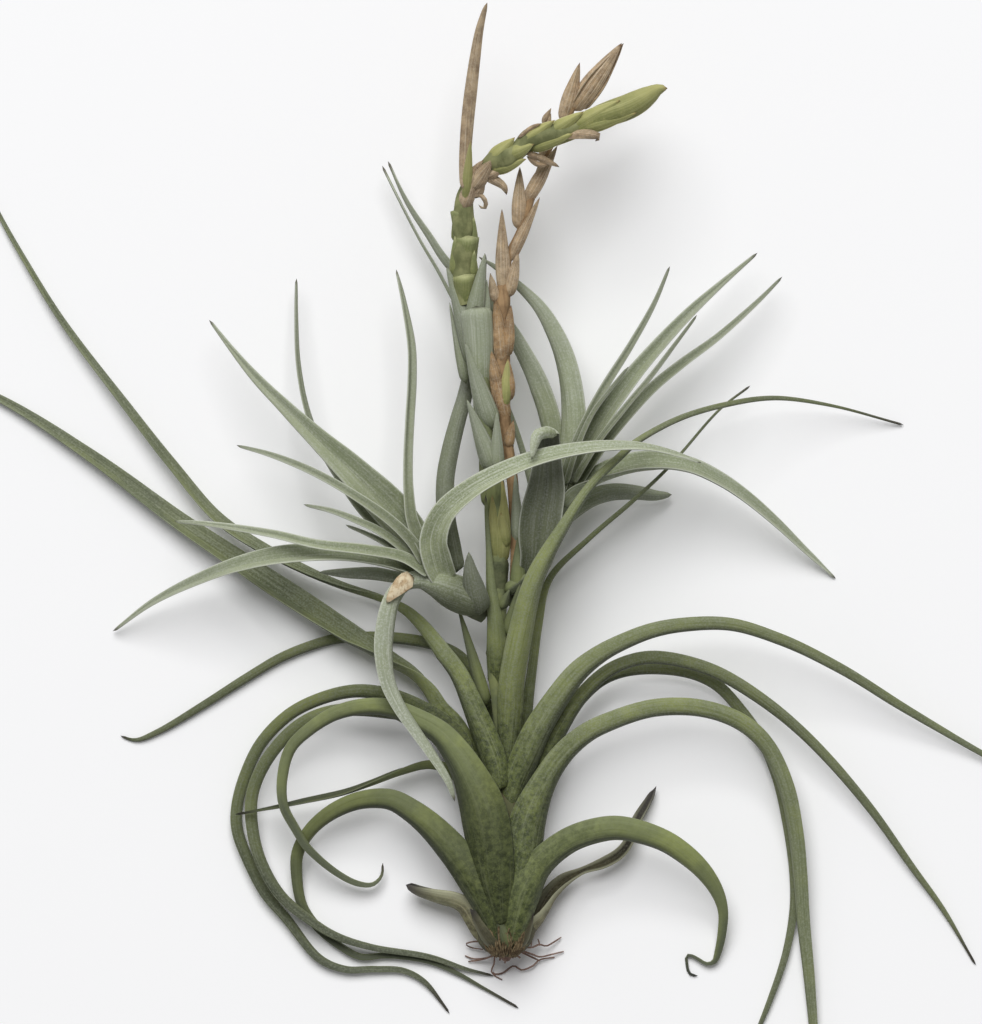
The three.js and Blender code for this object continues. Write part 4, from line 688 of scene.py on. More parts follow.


# Leaves: green under a bloom of silvery scales, with veins along them and pale margins. Painted
# shade greys the half of the back that faces away from the light, down towards the plant's foot,
# darkens the inner wall that faces away from it, and draws a dark line down the groove inside.
# A shade below zero darkens the inside instead of the back, and deep darkens the base. A
# colour's fourth number is the most that it covers.
def leafMaterial(name, look):
    material, nodes = newMaterial(name)

    def over(colour, layer, share):
        if len(look[layer]) == 4:
            share = share * look[layer][3]
        return nodes.mix(share, colour, tint(*look[layer][:3]))

    across, inside = nodes.attribute("across"), nodes.attribute("inside")
    along, reach = nodes.attribute("along"), nodes.attribute("reach")
    silver, shade = nodes.attribute("silver"), nodes.attribute("shade")
    lean, fromMiddle = nodes.attribute("lean"), nodes.math("ABSOLUTE", across)
    place = nodes.make("ShaderNodeTexCoord").output("Object")
    lane = nodes.joinXyz(across * look["veins"], reach * grain["alongVeins"], silver * 9.0)
    veins = nodes.noise(lane, 1.0, 3.0, 0.6)
    specks = nodes.noise(place, grain["specks"], 2.0, 0.6)
    clouds = nodes.noise(place, grain["clouds"], 3.0, 0.5)
    patches = nodes.noise(place, look["patchScale"], 6.0, 0.68)
    colour = nodes.mix(inside, tint(*look["outer"]), tint(*look["inner"]))
    colour = over(colour, "warm", nodes.step(clouds, 0.4, 0.65) * 0.7)
    # painted shade: the half of the back that faces away from the light is greyed
    shadedBack = nodes.step(across * lean + nodes.math("ABSOLUTE", lean) * (clouds * 0.6), 0.0, 0.4)
    colour = over(colour, "shadedBack", shadedBack * (1.0 - inside))
    # painted shade: the inner wall that faces away from the light is darkened
    shadedInnerWall = nodes.step(across * lean * -1.0 + (clouds - 0.5) * 0.1, 0.0, 0.14) * inside
    colour = over(colour, "shadedInnerWall", shadedInnerWall)
    if "far" in look:
        colour = over(colour, "far", nodes.step(along, 0.35, 0.85))
    # painted shade: a dark line down the groove in the middle of the inside
    colour = over(colour, "darkAndGrooveShade", nodes.step(1.0 - fromMiddle, 0.8, 1.0) * inside * 0.45)
    fade = 1.0 - nodes.step(along, look["patchFrom"], look["patchTo"])
    colour = over(colour, "base", fade)
    blotch = nodes.step(patches + (specks - 0.5) * 0.3 + (veins - 0.5) * 0.2, 0.36, 0.62)
    colour = over(colour, "darkAndGrooveShade", blotch * (fade * look["patchShare"] + look["blotch"]))
    dots = nodes.step(nodes.noise(place, grain["dots"], 6.0, 0.85), 0.48, 0.68)
    colour = over(colour, "dot", dots * (fade * 0.5 + 0.06))
    bloom = nodes.step(specks * 0.6 + veins * 0.5, 0.45, 0.75)
    bloom = bloom * (silver * (1.0 - fade * 0.7) * 0.8 + look["bloom"])
    colour = over(colour, "silver", bloom)
    colour = over(colour, "vein", nodes.step(veins, 0.52, 0.72))
    furrows = nodes.step(1.0 - veins, 0.55, 0.75)
    colour = over(colour, "darkAndGrooveShade", furrows * look["vein"][3] * 0.7)
    colour = over(colour, "margin", nodes.step(fromMiddle, look["marginFrom"], 0.998))
    dry = nodes.step(along + (clouds - 0.5) * 0.04, look["tipFrom"], 1.0)
    colour = over(colour, "tip", dry)
    # the shade darkens the back, or the inside when below zero: partly a leaf's own darker tone,
    # partly painted shade where a leaf lies in shadow
    turned = nodes.math("LESS_THAN", shade, 0.0)
    shaded = turned * inside + (1.0 - turned) * (1.0 - inside)
    lit = 1.0 - (1.0 - nodes.math("ABSOLUTE", shade)) * shaded
    lit = lit * (1.0 - nodes.attribute("deep") * (1.0 - nodes.step(along, 0.16, 0.36)))
    colour = nodes.mix(1.0, colour, nodes.joinXyz(lit, lit, lit), "MULTIPLY")
    finish(nodes, colour, 0.6 + (specks - 0.5) * 0.3, veins * 0.8 + specks * 0.4,
           look["relief"])
    return material


motherLook = {
    "outer": (121, 129, 88), "inner": (108, 116, 84), "warm": (146, 154, 94),
    "shadedBack": (70, 76, 62, 0.85), "shadedInnerWall": (92, 98, 76, 0.6), "far": (100, 105, 88, 0.5),
    "base": (70, 79, 40, 0.66), "darkAndGrooveShade": (38, 46, 26), "dot": (134, 144, 84),
    "silver": (148, 153, 134), "vein": (140, 147, 104, 0.28), "margin": (158, 164, 140, 0.3),
    "tip": (74, 70, 62), "marginFrom": 0.95, "tipFrom": 0.93, "veins": 9.0,
    "patchScale": 420.0, "patchFrom": 0.06, "patchTo": 0.34, "patchShare": 0.68,
    "blotch": 0.12, "bloom": 0.08, "relief": 0.14}
offsetLook = {
    "outer": (156, 163, 138), "inner": (162, 169, 138), "warm": (156, 164, 128),
    "shadedBack": (122, 128, 108, 0.6), "shadedInnerWall": (124, 134, 102, 0.55),
    "far": (172, 177, 160, 0.3), "base": (120, 128, 88, 0.5), "darkAndGrooveShade": (92, 100, 76),
    "dot": (166, 172, 142), "silver": (202, 206, 194), "vein": (196, 200, 180, 0.3),
    "margin": (224, 227, 214, 0.5), "tip": (104, 100, 88), "marginFrom": 0.93,
    "tipFrom": 0.97, "veins": 10.0, "patchScale": 150.0, "patchFrom": 0.1, "patchTo": 0.5,
    "patchShare": 0.3, "blotch": 0.1, "bloom": 0.3, "relief": 0.14}
# the inner colour is near black: painted shade in the hollow of a curled withered blade
witheredLook = {
    "outer": (140, 141, 108), "inner": (30, 29, 24), "warm": (132, 128, 92),
    "shadedBack": (112, 106, 80, 0.6), "shadedInnerWall": (44, 42, 34, 0.3), "far": (120, 116, 98, 0.2),
    "base": (112, 106, 74, 0.3), "darkAndGrooveShade": (56, 50, 40), "dot": (150, 148, 114),
    "silver": (176, 174, 154), "vein": (178, 170, 134, 0.5), "margin": (176, 176, 148, 0.85),
    "tip": (84, 80, 78), "marginFrom": 0.5, "tipFrom": 0.72, "veins": 12.0,
    "patchScale": 300.0, "patchFrom": 0.1, "patchTo": 0.9, "patchShare": 0.5,
    "blotch": 0.3, "bloom": 0.2, "relief": 0.35}
spikeLook = {
    "outer": (172, 170, 112), "inner": (184, 182, 132), "warm": (184, 180, 116),
    "shadedBack": (136, 138, 86, 0.6), "shadedInnerWall": (150, 154, 100, 0.2),
    "base": (112, 118, 68, 0.45), "darkAndGrooveShade": (100, 110, 58), "dot": (176, 174, 110),
    "silver": (196, 194, 156), "vein": (188, 188, 132, 0.45),
    "margin": (212, 206, 160, 0.85), "tip": (172, 152, 104), "marginFrom": 0.86,
    "tipFrom": 0.9, "veins": 12.0, "patchScale": 180.0, "patchFrom": 0.2, "patchTo": 0.9,
    "patchShare": 0.3, "blotch": 0.12, "bloom": 0.12, "relief": 0.25}
dryLook = {
    "outer": (226, 205, 172), "inner": (116, 90, 66), "warm": (206, 178, 140),
    "shadedBack": (168, 142, 114, 0.5), "shadedInnerWall": (110, 84, 62, 0.2),
    "base": (166, 136, 100, 0.4), "darkAndGrooveShade": (88, 62, 42), "dot": (220, 202, 176),
    "silver": (228, 214, 190), "vein": (236, 222, 196, 0.85), "margin": (222, 208, 180, 0.5),
    "tip": (128, 98, 72), "marginFrom": 0.92, "tipFrom": 0.92, "veins": 16.0,
    "patchScale": 260.0, "patchFrom": 0.6, "patchTo": 1.6, "patchShare": 0.4,
    "blotch": 0.15, "bloom": 0.2, "relief": 0.5}
motherLeaf = leafMaterial("silver_green_leaf", motherLook)
darkTipLeaf = leafMaterial("dark_tipped_leaf", {
    **motherLook, "tip": (66, 69, 61), "tipFrom": 0.55})
offsetLeaf = leafMaterial("grey_green_leaf", offsetLook)
witheredLeaf = leafMaterial("withered_leaf", witheredLook)
spikeBract = leafMaterial("yellow_green_bract", spikeLook)
spikeSheath = leafMaterial("green_spike_sheath", {
    **spikeLook, "outer": (130, 138, 94), "inner": (104, 112, 72), "warm": (146, 152, 98),
    "vein": (156, 162, 116, 0.45), "margin": (188, 192, 148, 0.85), "marginFrom": 0.9,
    "tip": (186, 188, 140), "tipFrom": 0.84})
dryBract = leafMaterial("dry_bract", dryLook)
rustyBract = leafMaterial("rusty_bract", {
    **dryLook, "outer": (200, 162, 114), "warm": (176, 134, 82),
    "shadedBack": (146, 110, 72, 0.5)})


# Stems and roots: two colours in blotches, under streaks that are stretched along the stem
def stemMaterial(name, base, second, streak, stretch, scale, blotchScale, streakShare=0.5,
                 relief=0.2):
    material, nodes = newMaterial(name)
    place = nodes.make("ShaderNodeTexCoord").output("Object")
    drawn = nodes.make("ShaderNodeMapping", sockets={"Vector": place, "Scale": stretch})
    streaks = nodes.noise(drawn, scale, 5.0, 0.65)
    blotches = nodes.noise(place, blotchScale, 4.0, 0.6)
    colour = nodes.mix(nodes.step(blotches, 0.38, 0.66), tint(*base), tint(*second))
    colour = nodes.mix(nodes.step(streaks, 0.5, 0.72) * streakShare, colour, tint(*streak))
    finish(nodes, colour, 0.66 + (streaks - 0.5) * 0.3, streaks, relief)
    return material


greenStem = stemMaterial("green_stalk", (108, 115, 86), (132, 138, 92), (82, 88, 60),
                         (1.0, 0.2, 1.0), 420.0, 110.0)
spikeStem = stemMaterial("green_spike_stalk", (108, 112, 76), (138, 140, 98), (80, 84, 54),
                         (1.0, 0.3, 1.0), 420.0, 160.0, relief=0.25)
dryStem = stemMaterial("dry_stalk", (128, 104, 76), (160, 132, 98), (84, 60, 42),
                       (1.0, 0.15, 1.0), 500.0, 160.0, 0.6, 0.3)
rootBark = stemMaterial("root_bark", (142, 116, 104), (112, 88, 78), (70, 54, 48),
                        (1.0, 1.0, 1.0), 900.0, 300.0, relief=0.3)
fibre = stemMaterial("foot_fibre", (132, 116, 88), (84, 68, 48), (52, 40, 30),
                     (1.0, 0.2, 1.0), 700.0, 620.0)
offsetStem = stemMaterial("grey_green_stem", (100, 106, 84), (116, 120, 96), (80, 76, 66),
                          (1.0, 0.3, 1.0), 420.0, 160.0)
bandSkin = stemMaterial("stalk_band", (76, 82, 58), (98, 102, 74), (48, 46, 34),
                        (1.0, 1.0, 1.0), 500.0, 260.0)
tornSkin = stemMaterial("torn_leaf", (216, 202, 172), (186, 162, 128), (134, 106, 76),
                        (0.6, 0.25, 1.0), 1300.0, 500.0, 0.8, 0.4)
bulbSkin = stemMaterial("bulb_skin", (86, 88, 60), (96, 84, 62), (66, 54, 42),
                        (1.0, 0.12, 1.0), 600.0, 120.0, 0.7, 0.35)
print("materials made")

# Each group has the start of its names, its finish, its slot and its usual silver
for leaves, start, finishOfThese, slot, silver in (
        (motherLeaves, "mother_leaf_", motherLeaf, "mother_leaf", 0.75),
        (witheredLeaves, "withered_leaf_", witheredLeaf, "withered_leaf", 0.2),
        (leftOffsetLeaves, "left_offset_leaf_", offsetLeaf, "offset_leaf", 0.2),
        (rightOffsetLeaves, "right_offset_leaf_", offsetLeaf, "offset_leaf", 0.2)):
    for number, leaf in enumerate(leaves):
        node, seed = start + leaf["node"], number + len(leaves)
        grown = grow(node + "_blade", leafRail(leaf, seed), leafTree, {
            "Section Points": leafBuild["sectionPoints"], "Keel": leafBuild["keel"],
            "Fold": leaf.get("fold", leafBuild["fold"]),
            "Silver": leaf.get("silver", silver), "Shade": leaf.get("shade", 1.0),
            "Deep": leaf.get("deep", 0.0),
            "Material": darkTipLeaf if "darkTip" in leaf else finishOfThese})
        hold(grown, slot, node)
print("leaves grown")


# The rail of a stem or of several
def stemRail(name, routes):
    points, radii, spans = [], [], []
    for line in routes:
        route = Route(line)
        start = len(points)
        for along, _ in route.evenPlaces(stemBuild["spacing"]):
            x, y, z, radius = route.at(along)
            points.append(Vector((x, y, max(z, radius))) + foot)
            radii.append(radius * mm)
        spans.append(range(start, len(points)))
    return makeRail(name, points, {"stemRadius": radii}, spans)


def growStem(name, routes, material, slot, node, ribDepth=stemBuild["ribDepth"],
             sides=stemBuild["sides"]):
    grown = grow(name, stemRail(name, routes), stemTree, {
        "Sides": sides, "Ribs": stemBuild["ribs"], "Rib Depth": ribDepth,
        "Material": material})
    hold(grown, slot, node)


def growSmall(leaf, seed, material, silver=0.1, shade=1.0):
    return grow(leaf["node"], leafRail(leaf, seed), leafTree, {
        "Section Points": smallBuild["sectionPoints"], "Keel": smallBuild["keel"],
        "Fold": leaf.get("fold", leafBuild["fold"]), "Silver": silver, "Shade": shade,
        "Deep": 0.0, "Material": material})


# A bract comes out of what it grows from, hugs it and ends in a point. Its shape says, from
# base to tip, how far it lifts and how wide it is, as shares of its full width.
bractShape = ((0, -0.34, 0.72), (0.16, 0.0, 0.94), (0.4, 0.12, 1), (0.7, 0.1, 0.64),
              (1, 0.04, 0.08))
broadShape = ((0, -0.34, 0.8), (0.1, 0.0, 1), (0.3, 0.1, 0.94), (0.68, 0.1, 0.52),
              (1, 0.04, 0.08))


def bract(name, shape, base, tip, width, turn=180, curl=(130, 120, 60)):
    route = []
    for share, lift, fullness in shape:
        x, y, z = (a + (b - a) * share for a, b in zip(base, tip))
        seenWidth = max(fullness * width, smallBuild["bractEnd"])
        route.append((x, y, z + lift * width, seenWidth))
    return blade(name, smallBuild["bractWall"], [turn, turn], route, curl)


def growBracts(name, bracts, material, silver=0.1, shade=1.0, shape=bractShape):
    return [growSmall(bract(f"{name}_{n}", shape, *form), n + 0.5, material, silver, shade)
            for n, form in enumerate(bracts)]


# Dry scraps: each one a crumpled shred along its route
def growScraps(name, routes, material):
    return [growSmall(blade(f"{name}_{n}", 0.7, [150, 200, 160], route, [60, 90, 50]), n + 3.5,
                      material) for n, route in enumerate(routes)]


flowerStalkRoute = [
    (-0.5, 57, 13, 2.6), (-0.8, 70, 14, 2.8), (-2, 86, 17, 3), (-3.7, 101, 20.5, 3),
    (-3.2, 112, 25, 3.3), (-3, 122, 28, 3.6), (-2.7, 137, 31, 3.5), (-2.6, 151, 33, 3.6),
    (-4, 165.5, 34.5, 3.4), (-7.6, 183, 35.5, 3.2), (-8.6, 201, 36, 3.2),
    (-9.8, 216, 36, 3.2), (-11.6, 226, 36, 2.8), (-12.6, 231, 36, 2.2)]
stalkBandRoutes = [
    [(-3.8, 102.8, 21.1, 3.1), (-3.7, 103.4, 21.4, 3.3), (-3.6, 104, 21.7, 3.1)],
    [(-3, 125.6, 28.6, 3.7), (-2.9, 131, 30, 3.8), (-2.7, 136, 30.9, 3.9),
     (-2.7, 137, 31.1, 3.5)]]
paleBracts = [
    ((-14, 199.8, 33), (-19.9, 229, 35), 3.6), ((-8.6, 205.2, 36), (-20.9, 241.9, 38), 9),
    ((-7.2, 206.6, 36.5), (-6.5, 237.2, 38), 5.6),
    ((-11.6, 220.4, 38.4), (-7.2, 246.4, 42.6), 6.8),
    ((-4.7, 183.6, 38), (-14.4, 214.6, 40.5), 8), ((-4, 168.5, 38.5), (-13.7, 194.4, 41), 7),
    ((-2.9, 168.5, 39.5), (-2.9, 190.1, 42), 5.4), ((4.7, 142.2, 33), (3.5, 168.1, 36), 5)]
oliveBracts = [
    ((4.3, 125.3, 32), (5.8, 150.5, 34.5), 5.4), ((-5, 155, 31.5), (-9, 184, 31), 6),
    ((-6.6, 84, 17.6), (-16.9, 121, 28), 5), ((-1.4, 119.5, 31), (1.8, 126.7, 34), 4),
    ((1.1, 109.4, 27), (5.4, 128.9, 34), 5.6), ((0, 125.3, 32), (9.7, 132.8, 33), 5)]
yellowBracts = [
    ((-1.8, 135, 33.6), (-1.1, 166, 36.4), 7.4), ((-2.9, 136.1, 34), (-4.6, 160, 37.4), 5),
    ((0.4, 141, 35), (-1.6, 154, 38), 4.4)]
rustyBracts = [((5.4, 131.8, 31), (4.7, 148.3, 34), 3.6)]
paleSheath = blade("pale_sheath", 0.8, [176, 186], [
    (-8.2, 198, 35.6, 7.4), (-8.8, 206, 38.2, 9), (-9.6, 217, 40.4, 10.8),
    (-10.6, 227.4, 42.2, 12)], curl=[170, 130], roundEnd=3.2)
stalkStrip = blade("stalk_strip", 0.8, [180, 180], [
    (-2.2, 91, 18.6, 8), (-2.6, 100, 23.4, 7.8), (-3, 108, 27, 7.2), (-3.6, 117, 30.8, 5.4),
    (-4.9, 127.8, 33.8, 3.6), (-5.8, 140.4, 35.8, 2.2), (-6.7, 153, 37.2, 1.4),
    (-7, 160.2, 37.6, 0.8)], curl=[120, 110])
growStem("flower_stalk_core", [flowerStalkRoute], greenStem, "stem", "flower_stalk")
growStem("flower_stalk_bands", stalkBandRoutes, bandSkin, "stem", "flower_stalk")
hold(joinParts("flower_stalk_bracts",
               growBracts("paleBract", paleBracts, offsetLeaf, 0.1, 0.76, broadShape)
               + growBracts("oliveBract", oliveBracts, motherLeaf, 0.2, 0.85, broadShape)
               + [growSmall(paleSheath, 5.5, offsetLeaf, 0.1, 0.9)]
               + growBracts("yellowBract", yellowBracts, spikeBract, 0.1, 0.84)
               + growBracts("rustyBract", rustyBracts, rustyBract)
               + [growSmall(stalkStrip, 4.4, motherLeaf, 0.4)]),
     "stem", "flower_stalk")

greenSpikeRoute = [
    (-14.6, 228, 36.4, 3), (-15.3, 231.8, 36.5, 3.2), (-15.1, 236, 36.8, 3.9),
    (-15, 241.2, 37, 3.4), (-14.9, 247, 37.6, 4.2), (-14.9, 251.5, 38, 3.5),
    (-14.9, 255.4, 38.2, 4.1), (-14.9, 261, 38.8, 3.6), (-14.4, 266.4, 39.4, 3.1),
    (-11.9, 271.8, 40.2, 2.6), (-6.8, 277.2, 41.4, 2.6), (-2.9, 279.4, 43, 4.2),
    (1.1, 281.2, 44.2, 4.5), (5, 283.3, 45, 3.3), (9, 287, 45.8, 3.8),
    (15.8, 288.7, 46.6, 4), (21.6, 289.6, 47, 3.2), (24.5, 291, 47, 2.8),
    (32, 294.2, 46.8, 3.6), (38.5, 296.4, 46.5, 4), (45, 298.9, 46.3, 3.8), (51, 302, 46.1, 2.6),
    (54.6, 303.8, 46, 1.4), (57, 304.6, 46, 0.5)]
greenSpikeBracts = [
    ((-6.1, 277.2, 44), (3.6, 287.3, 48), 6.6),
    ((-5.4, 275.8, 44), (7.6, 279.6, 46.6), 5.6), ((-1, 280, 45.6), (10.4, 285, 49), 6),
    ((4.7, 284.4, 47), (17.8, 293.4, 50.4), 5.6), ((8.4, 283.6, 46.6), (24.4, 288.6, 49.8), 5.4),
    ((14, 287.6, 48), (28, 296.6, 50.4), 5.4), ((6.1, 283.4, 45.6), (33.5, 290.5, 47.6), 4.6),
    ((22.7, 290, 48), (41, 300.6, 51.4), 6), ((24.1, 290, 48), (47, 296, 50.6), 6)]
# The closed bract at the end of the spike. The sheaths round its lower part are cups, each as
# its foot, its lip and its width, and bracts at their sides.
endBract = blade("end_bract", 0.9, [180, 180], [
    (23.6, 289.6, 47, 4.6), (27.1, 291, 48.4, 6.4), (33, 294.4, 49.6, 8.4), (38, 296.2, 50.2, 9.2),
    (43, 297.9, 50.4, 9.4), (47.4, 300, 50, 8.8), (51, 302.2, 49.2, 7.2), (54.9, 304.5, 48, 4),
    (57.8, 304.8, 47.4, 1.4)], curl=[150, 150], fold=0.04, roundEnd=1.6)
cups = [
    ((-14.8, 250.4, 36.4), (-16, 262.6, 41.2), 7.6),
    ((-14.2, 241, 36.4), (-13.4, 252.6, 42), 8.6), ((-14, 228, 36.4), (-14.8, 238.8, 42), 8.4)]
sideSheaths = [
    ((-17, 237.6, 36.6), (-17.8, 252.6, 40.4), 5.4),
    ((-12.2, 246.6, 36.8), (-11, 259.4, 40.2), 5), ((-16.6, 250, 37), (-18.2, 261, 40), 4.4),
    ((-12, 236.6, 37), (-10.8, 247.4, 40.4), 4.6)]
oliveSlivers = [((-14, 264, 43.6), (-12.2, 286.4, 46.6), 3.6)]
scrapRoutes = [
    [(-14, 267.8, 42.4, 2), (-11.9, 274.3, 43.6, 3), (-7.6, 279.4, 45, 1)],
    [(-9.7, 275, 44, 2.4), (-4.7, 272.9, 43, 3.6), (-0.4, 270, 41.6, 2.6), (0.7, 267.1, 40, 1)],
    [(-12.6, 266.4, 42.6, 1.2), (-9, 267.1, 42, 1.6), (-6.8, 264.2, 41, 1.6),
     (-7.6, 262.1, 40, 1.2), (-9.7, 263.5, 39.6, 0.8)],
    [(6.8, 282.2, 46, 1.8), (12.6, 280.1, 44, 2.6), (19.4, 277, 41.6, 1)],
    [(7.6, 280.8, 45, 1.4), (11.9, 277.9, 43, 2), (15.5, 277.9, 42, 0.8)],
    [(20, 287.4, 48.4, 2), (27, 288.4, 50.2, 3.4), (31, 288.2, 51, 3.2), (33.6, 287.4, 50.4, 2),
     (32, 285.8, 49.2, 0.8)],
    [(4.3, 286.9, 48, 1), (9, 290.5, 49.6, 1.6), (13, 292.3, 50.4, 0.8)]]
bendBracts = [
    ((-15.4, 261, 41), (-10.4, 275, 44.6), 5.6), ((-12.8, 268, 42.4), (-4.4, 279.6, 46), 6.4),
    ((-11.6, 266, 41), (-7, 272.6, 43.4), 4.6), ((-8, 273, 42.6), (-0.6, 276, 44.6), 4.4)]


def growCup(number, low, lip, width):
    middle = [(a + b) / 2 for a, b in zip(low, lip)]
    route = [(*low, width * 0.86), (*middle, width * 0.9), (*lip, width)]
    cup = blade(f"cup_{number}", 0.9, [170, 190], route, [170, 140], fold=0.12, roundEnd=1.8)
    return growSmall(cup, number + 1.7, spikeSheath, 0.1, 0.9)


growStem("green_spike_core", [greenSpikeRoute], spikeStem, "green_spike", "green_flower_spike")
hold(joinParts("green_spike_bracts",
               growBracts("spikeBract", greenSpikeBracts, spikeBract)
               + [growSmall(endBract, 6.6, spikeBract, 0.1, 0.9)]
               + [growCup(number, *cup) for number, cup in enumerate(cups)]
               + growBracts("sideSheath", sideSheaths, spikeSheath, 0.1, 0.94, broadShape)
               + growBracts("oliveSliver", oliveSlivers, spikeBract, 0.1, 0.8)
               + growBracts("bendBract", bendBracts, dryBract, 0.1, 0.8)
               + growScraps("scrap", scrapRoutes, dryBract)),
     "green_spike", "green_flower_spike")

driedSpikeRoute = [
    (3.4, 126.5, 27.5, 2), (3.8, 137, 30, 2), (3.6, 148, 32, 2), (2.5, 165.5, 33, 2),
    (0.6, 180, 33.4, 2), (-0.8, 190, 33.6, 2.5), (-1.4, 197, 33.6, 3.1),
    (-1.6, 214, 33.8, 3.2), (-1.2, 229, 34, 2.9), (0, 237.6, 34, 2.1), (0.7, 244, 34, 1.6),
    (5.8, 255, 34, 1.5), (9, 265.5, 34, 1.4), (12.4, 276, 34, 1.3), (15.3, 283, 34.2, 1.2),
    (19.6, 291.4, 35, 1.1), (24.4, 298.4, 36.6, 1)]
brownBracts = [
    ((-1.4, 206, 36.2), (-3.2, 230, 38.2), 6), ((0.6, 209, 35.8), (2.2, 228, 37.4), 4.6),
    ((0.6, 176, 34.6), (3, 187, 37), 4), ((0.4, 186, 35), (-5.6, 212, 38.6), 6),
    ((-2.5, 197.3, 37.4), (-5.8, 213.1, 38.4), 4.4), ((1, 193, 35.4), (1, 209, 37.8), 5)]
driedBracts = [
    ((-3.2, 228.2, 36), (-5.2, 239.4, 37.5), 3.6), ((-0.7, 232.2, 35.8), (-1.1, 262.2, 38), 5),
    ((1.1, 230.4, 35.4), (4.7, 247, 37), 4.7), ((1.8, 243.4, 35.4), (12.4, 266.4, 37.4), 4),
    ((4.7, 254.6, 34.8), (5.2, 277.3, 36.4), 5.3), ((7.2, 264.2, 35), (18.7, 284.8, 36.6), 5),
    ((13.3, 292.5, 36), (16.5, 298.2, 37), 2.5), ((13, 279, 34.6), (16.3, 296.4, 37), 3.4),
    ((20.6, 292.8, 35.8), (26.6, 314.4, 39), 5.8), ((24, 297.2, 36.6), (41.6, 321.3, 40), 7.4),
    ((26, 297.8, 36.4), (42.2, 321.3, 38.6), 7, 30, (120, 130, 60))]
lateBracts = [((-0.4, 190.8, 36.6), (1.1, 208.8, 38.2), 4)]
growStem("dried_spike_core", [driedSpikeRoute], dryStem, "dried_bract", "dried_flower_spike",
         0.06)
hold(joinParts("dried_spike_bracts",
               growBracts("dryBract", driedBracts, dryBract)
               + growBracts("brownBract", brownBracts, rustyBract, 0.0, 0.9)
               + growBracts("lateBract", lateBracts, spikeBract)),
     "dried_bract", "dried_flower_spike")

driedStrap = blade("dried_strap_blade", 1, [200, 190, 180, 180, 170], [
    (-14.4, 268.5, 44.5, 3.2), (-14.4, 276, 43.6, 4.2), (-14.2, 284, 43, 4.4),
    (-13.4, 294, 43, 4.6), (-12.3, 304, 43, 4.6), (-10.9, 315, 43, 4), (-9.2, 325.5, 43, 3),
    (-7.4, 332.5, 43.4, 1.8), (-6.4, 335.5, 44.4, 1)], curl=[120, 110, 90, 90, 120])
hold(growSmall(driedStrap, 3.3, dryBract, 0.1, 0.78), "dried_bract", "dried_strap")

leftOffsetStemRoute = [
    (-7.4, 116.5, 25.5, 2.4), (-12, 120, 27, 3.6), (-18, 126, 29.5, 4), (-23, 131.5, 31.5, 3.8),
    (-26, 134, 33.5, 2.4)]
rightOffsetStemRoute = [
    (2, 120.5, 23, 2.2), (7, 130, 24.6, 3.6), (12, 141, 25.6, 4.2), (16.5, 151, 26.8, 4.2),
    (20.5, 160, 29, 3.2), (22.5, 164.5, 30.4, 2)]
growStem("left_offset_core", [leftOffsetStemRoute], offsetStem, "stem", "left_offset_stem")
growStem("right_offset_core", [rightOffsetStemRoute], offsetStem, "stem", "right_offset_stem")

# Where the drooping leaf of the left offset is torn, and the folded tip of the right one's cup
tornPatch = blade("torn_patch", 0.7, [185, 190], [
    (-32.4, 130.6, 39.6, 5.4), (-35.4, 129.4, 40.2, 6.4), (-38, 127, 40.1, 5.4),
    (-40.4, 124.4, 39.6, 3.4), (-42.4, 121.6, 38.6, 0.8)], curl=[50, 40], fold=0.02, roundEnd=0.4)
foldedTip = blade("folded_tip", 0.8, [190, 175, 160, 160], [
    (18.6, 181.4, 50.4, 2.6), (15, 182.4, 53, 4), (11.6, 181.6, 54.2, 4.4), (10.2, 178, 54.6, 3.2),
    (9.4, 172.6, 54.6, 0.8)], curl=[70, 80, 60], fold=0.12, roundEnd=0.8)
hold(growSmall(tornPatch, 2.2, tornSkin, 0.0), "offset_leaf", "left_offset_leaf_drooping")
hold(growSmall(foldedTip, 4.1, offsetLeaf, 0.6), "offset_leaf", "right_offset_leaf_cup")
print("stalk and spikes grown")

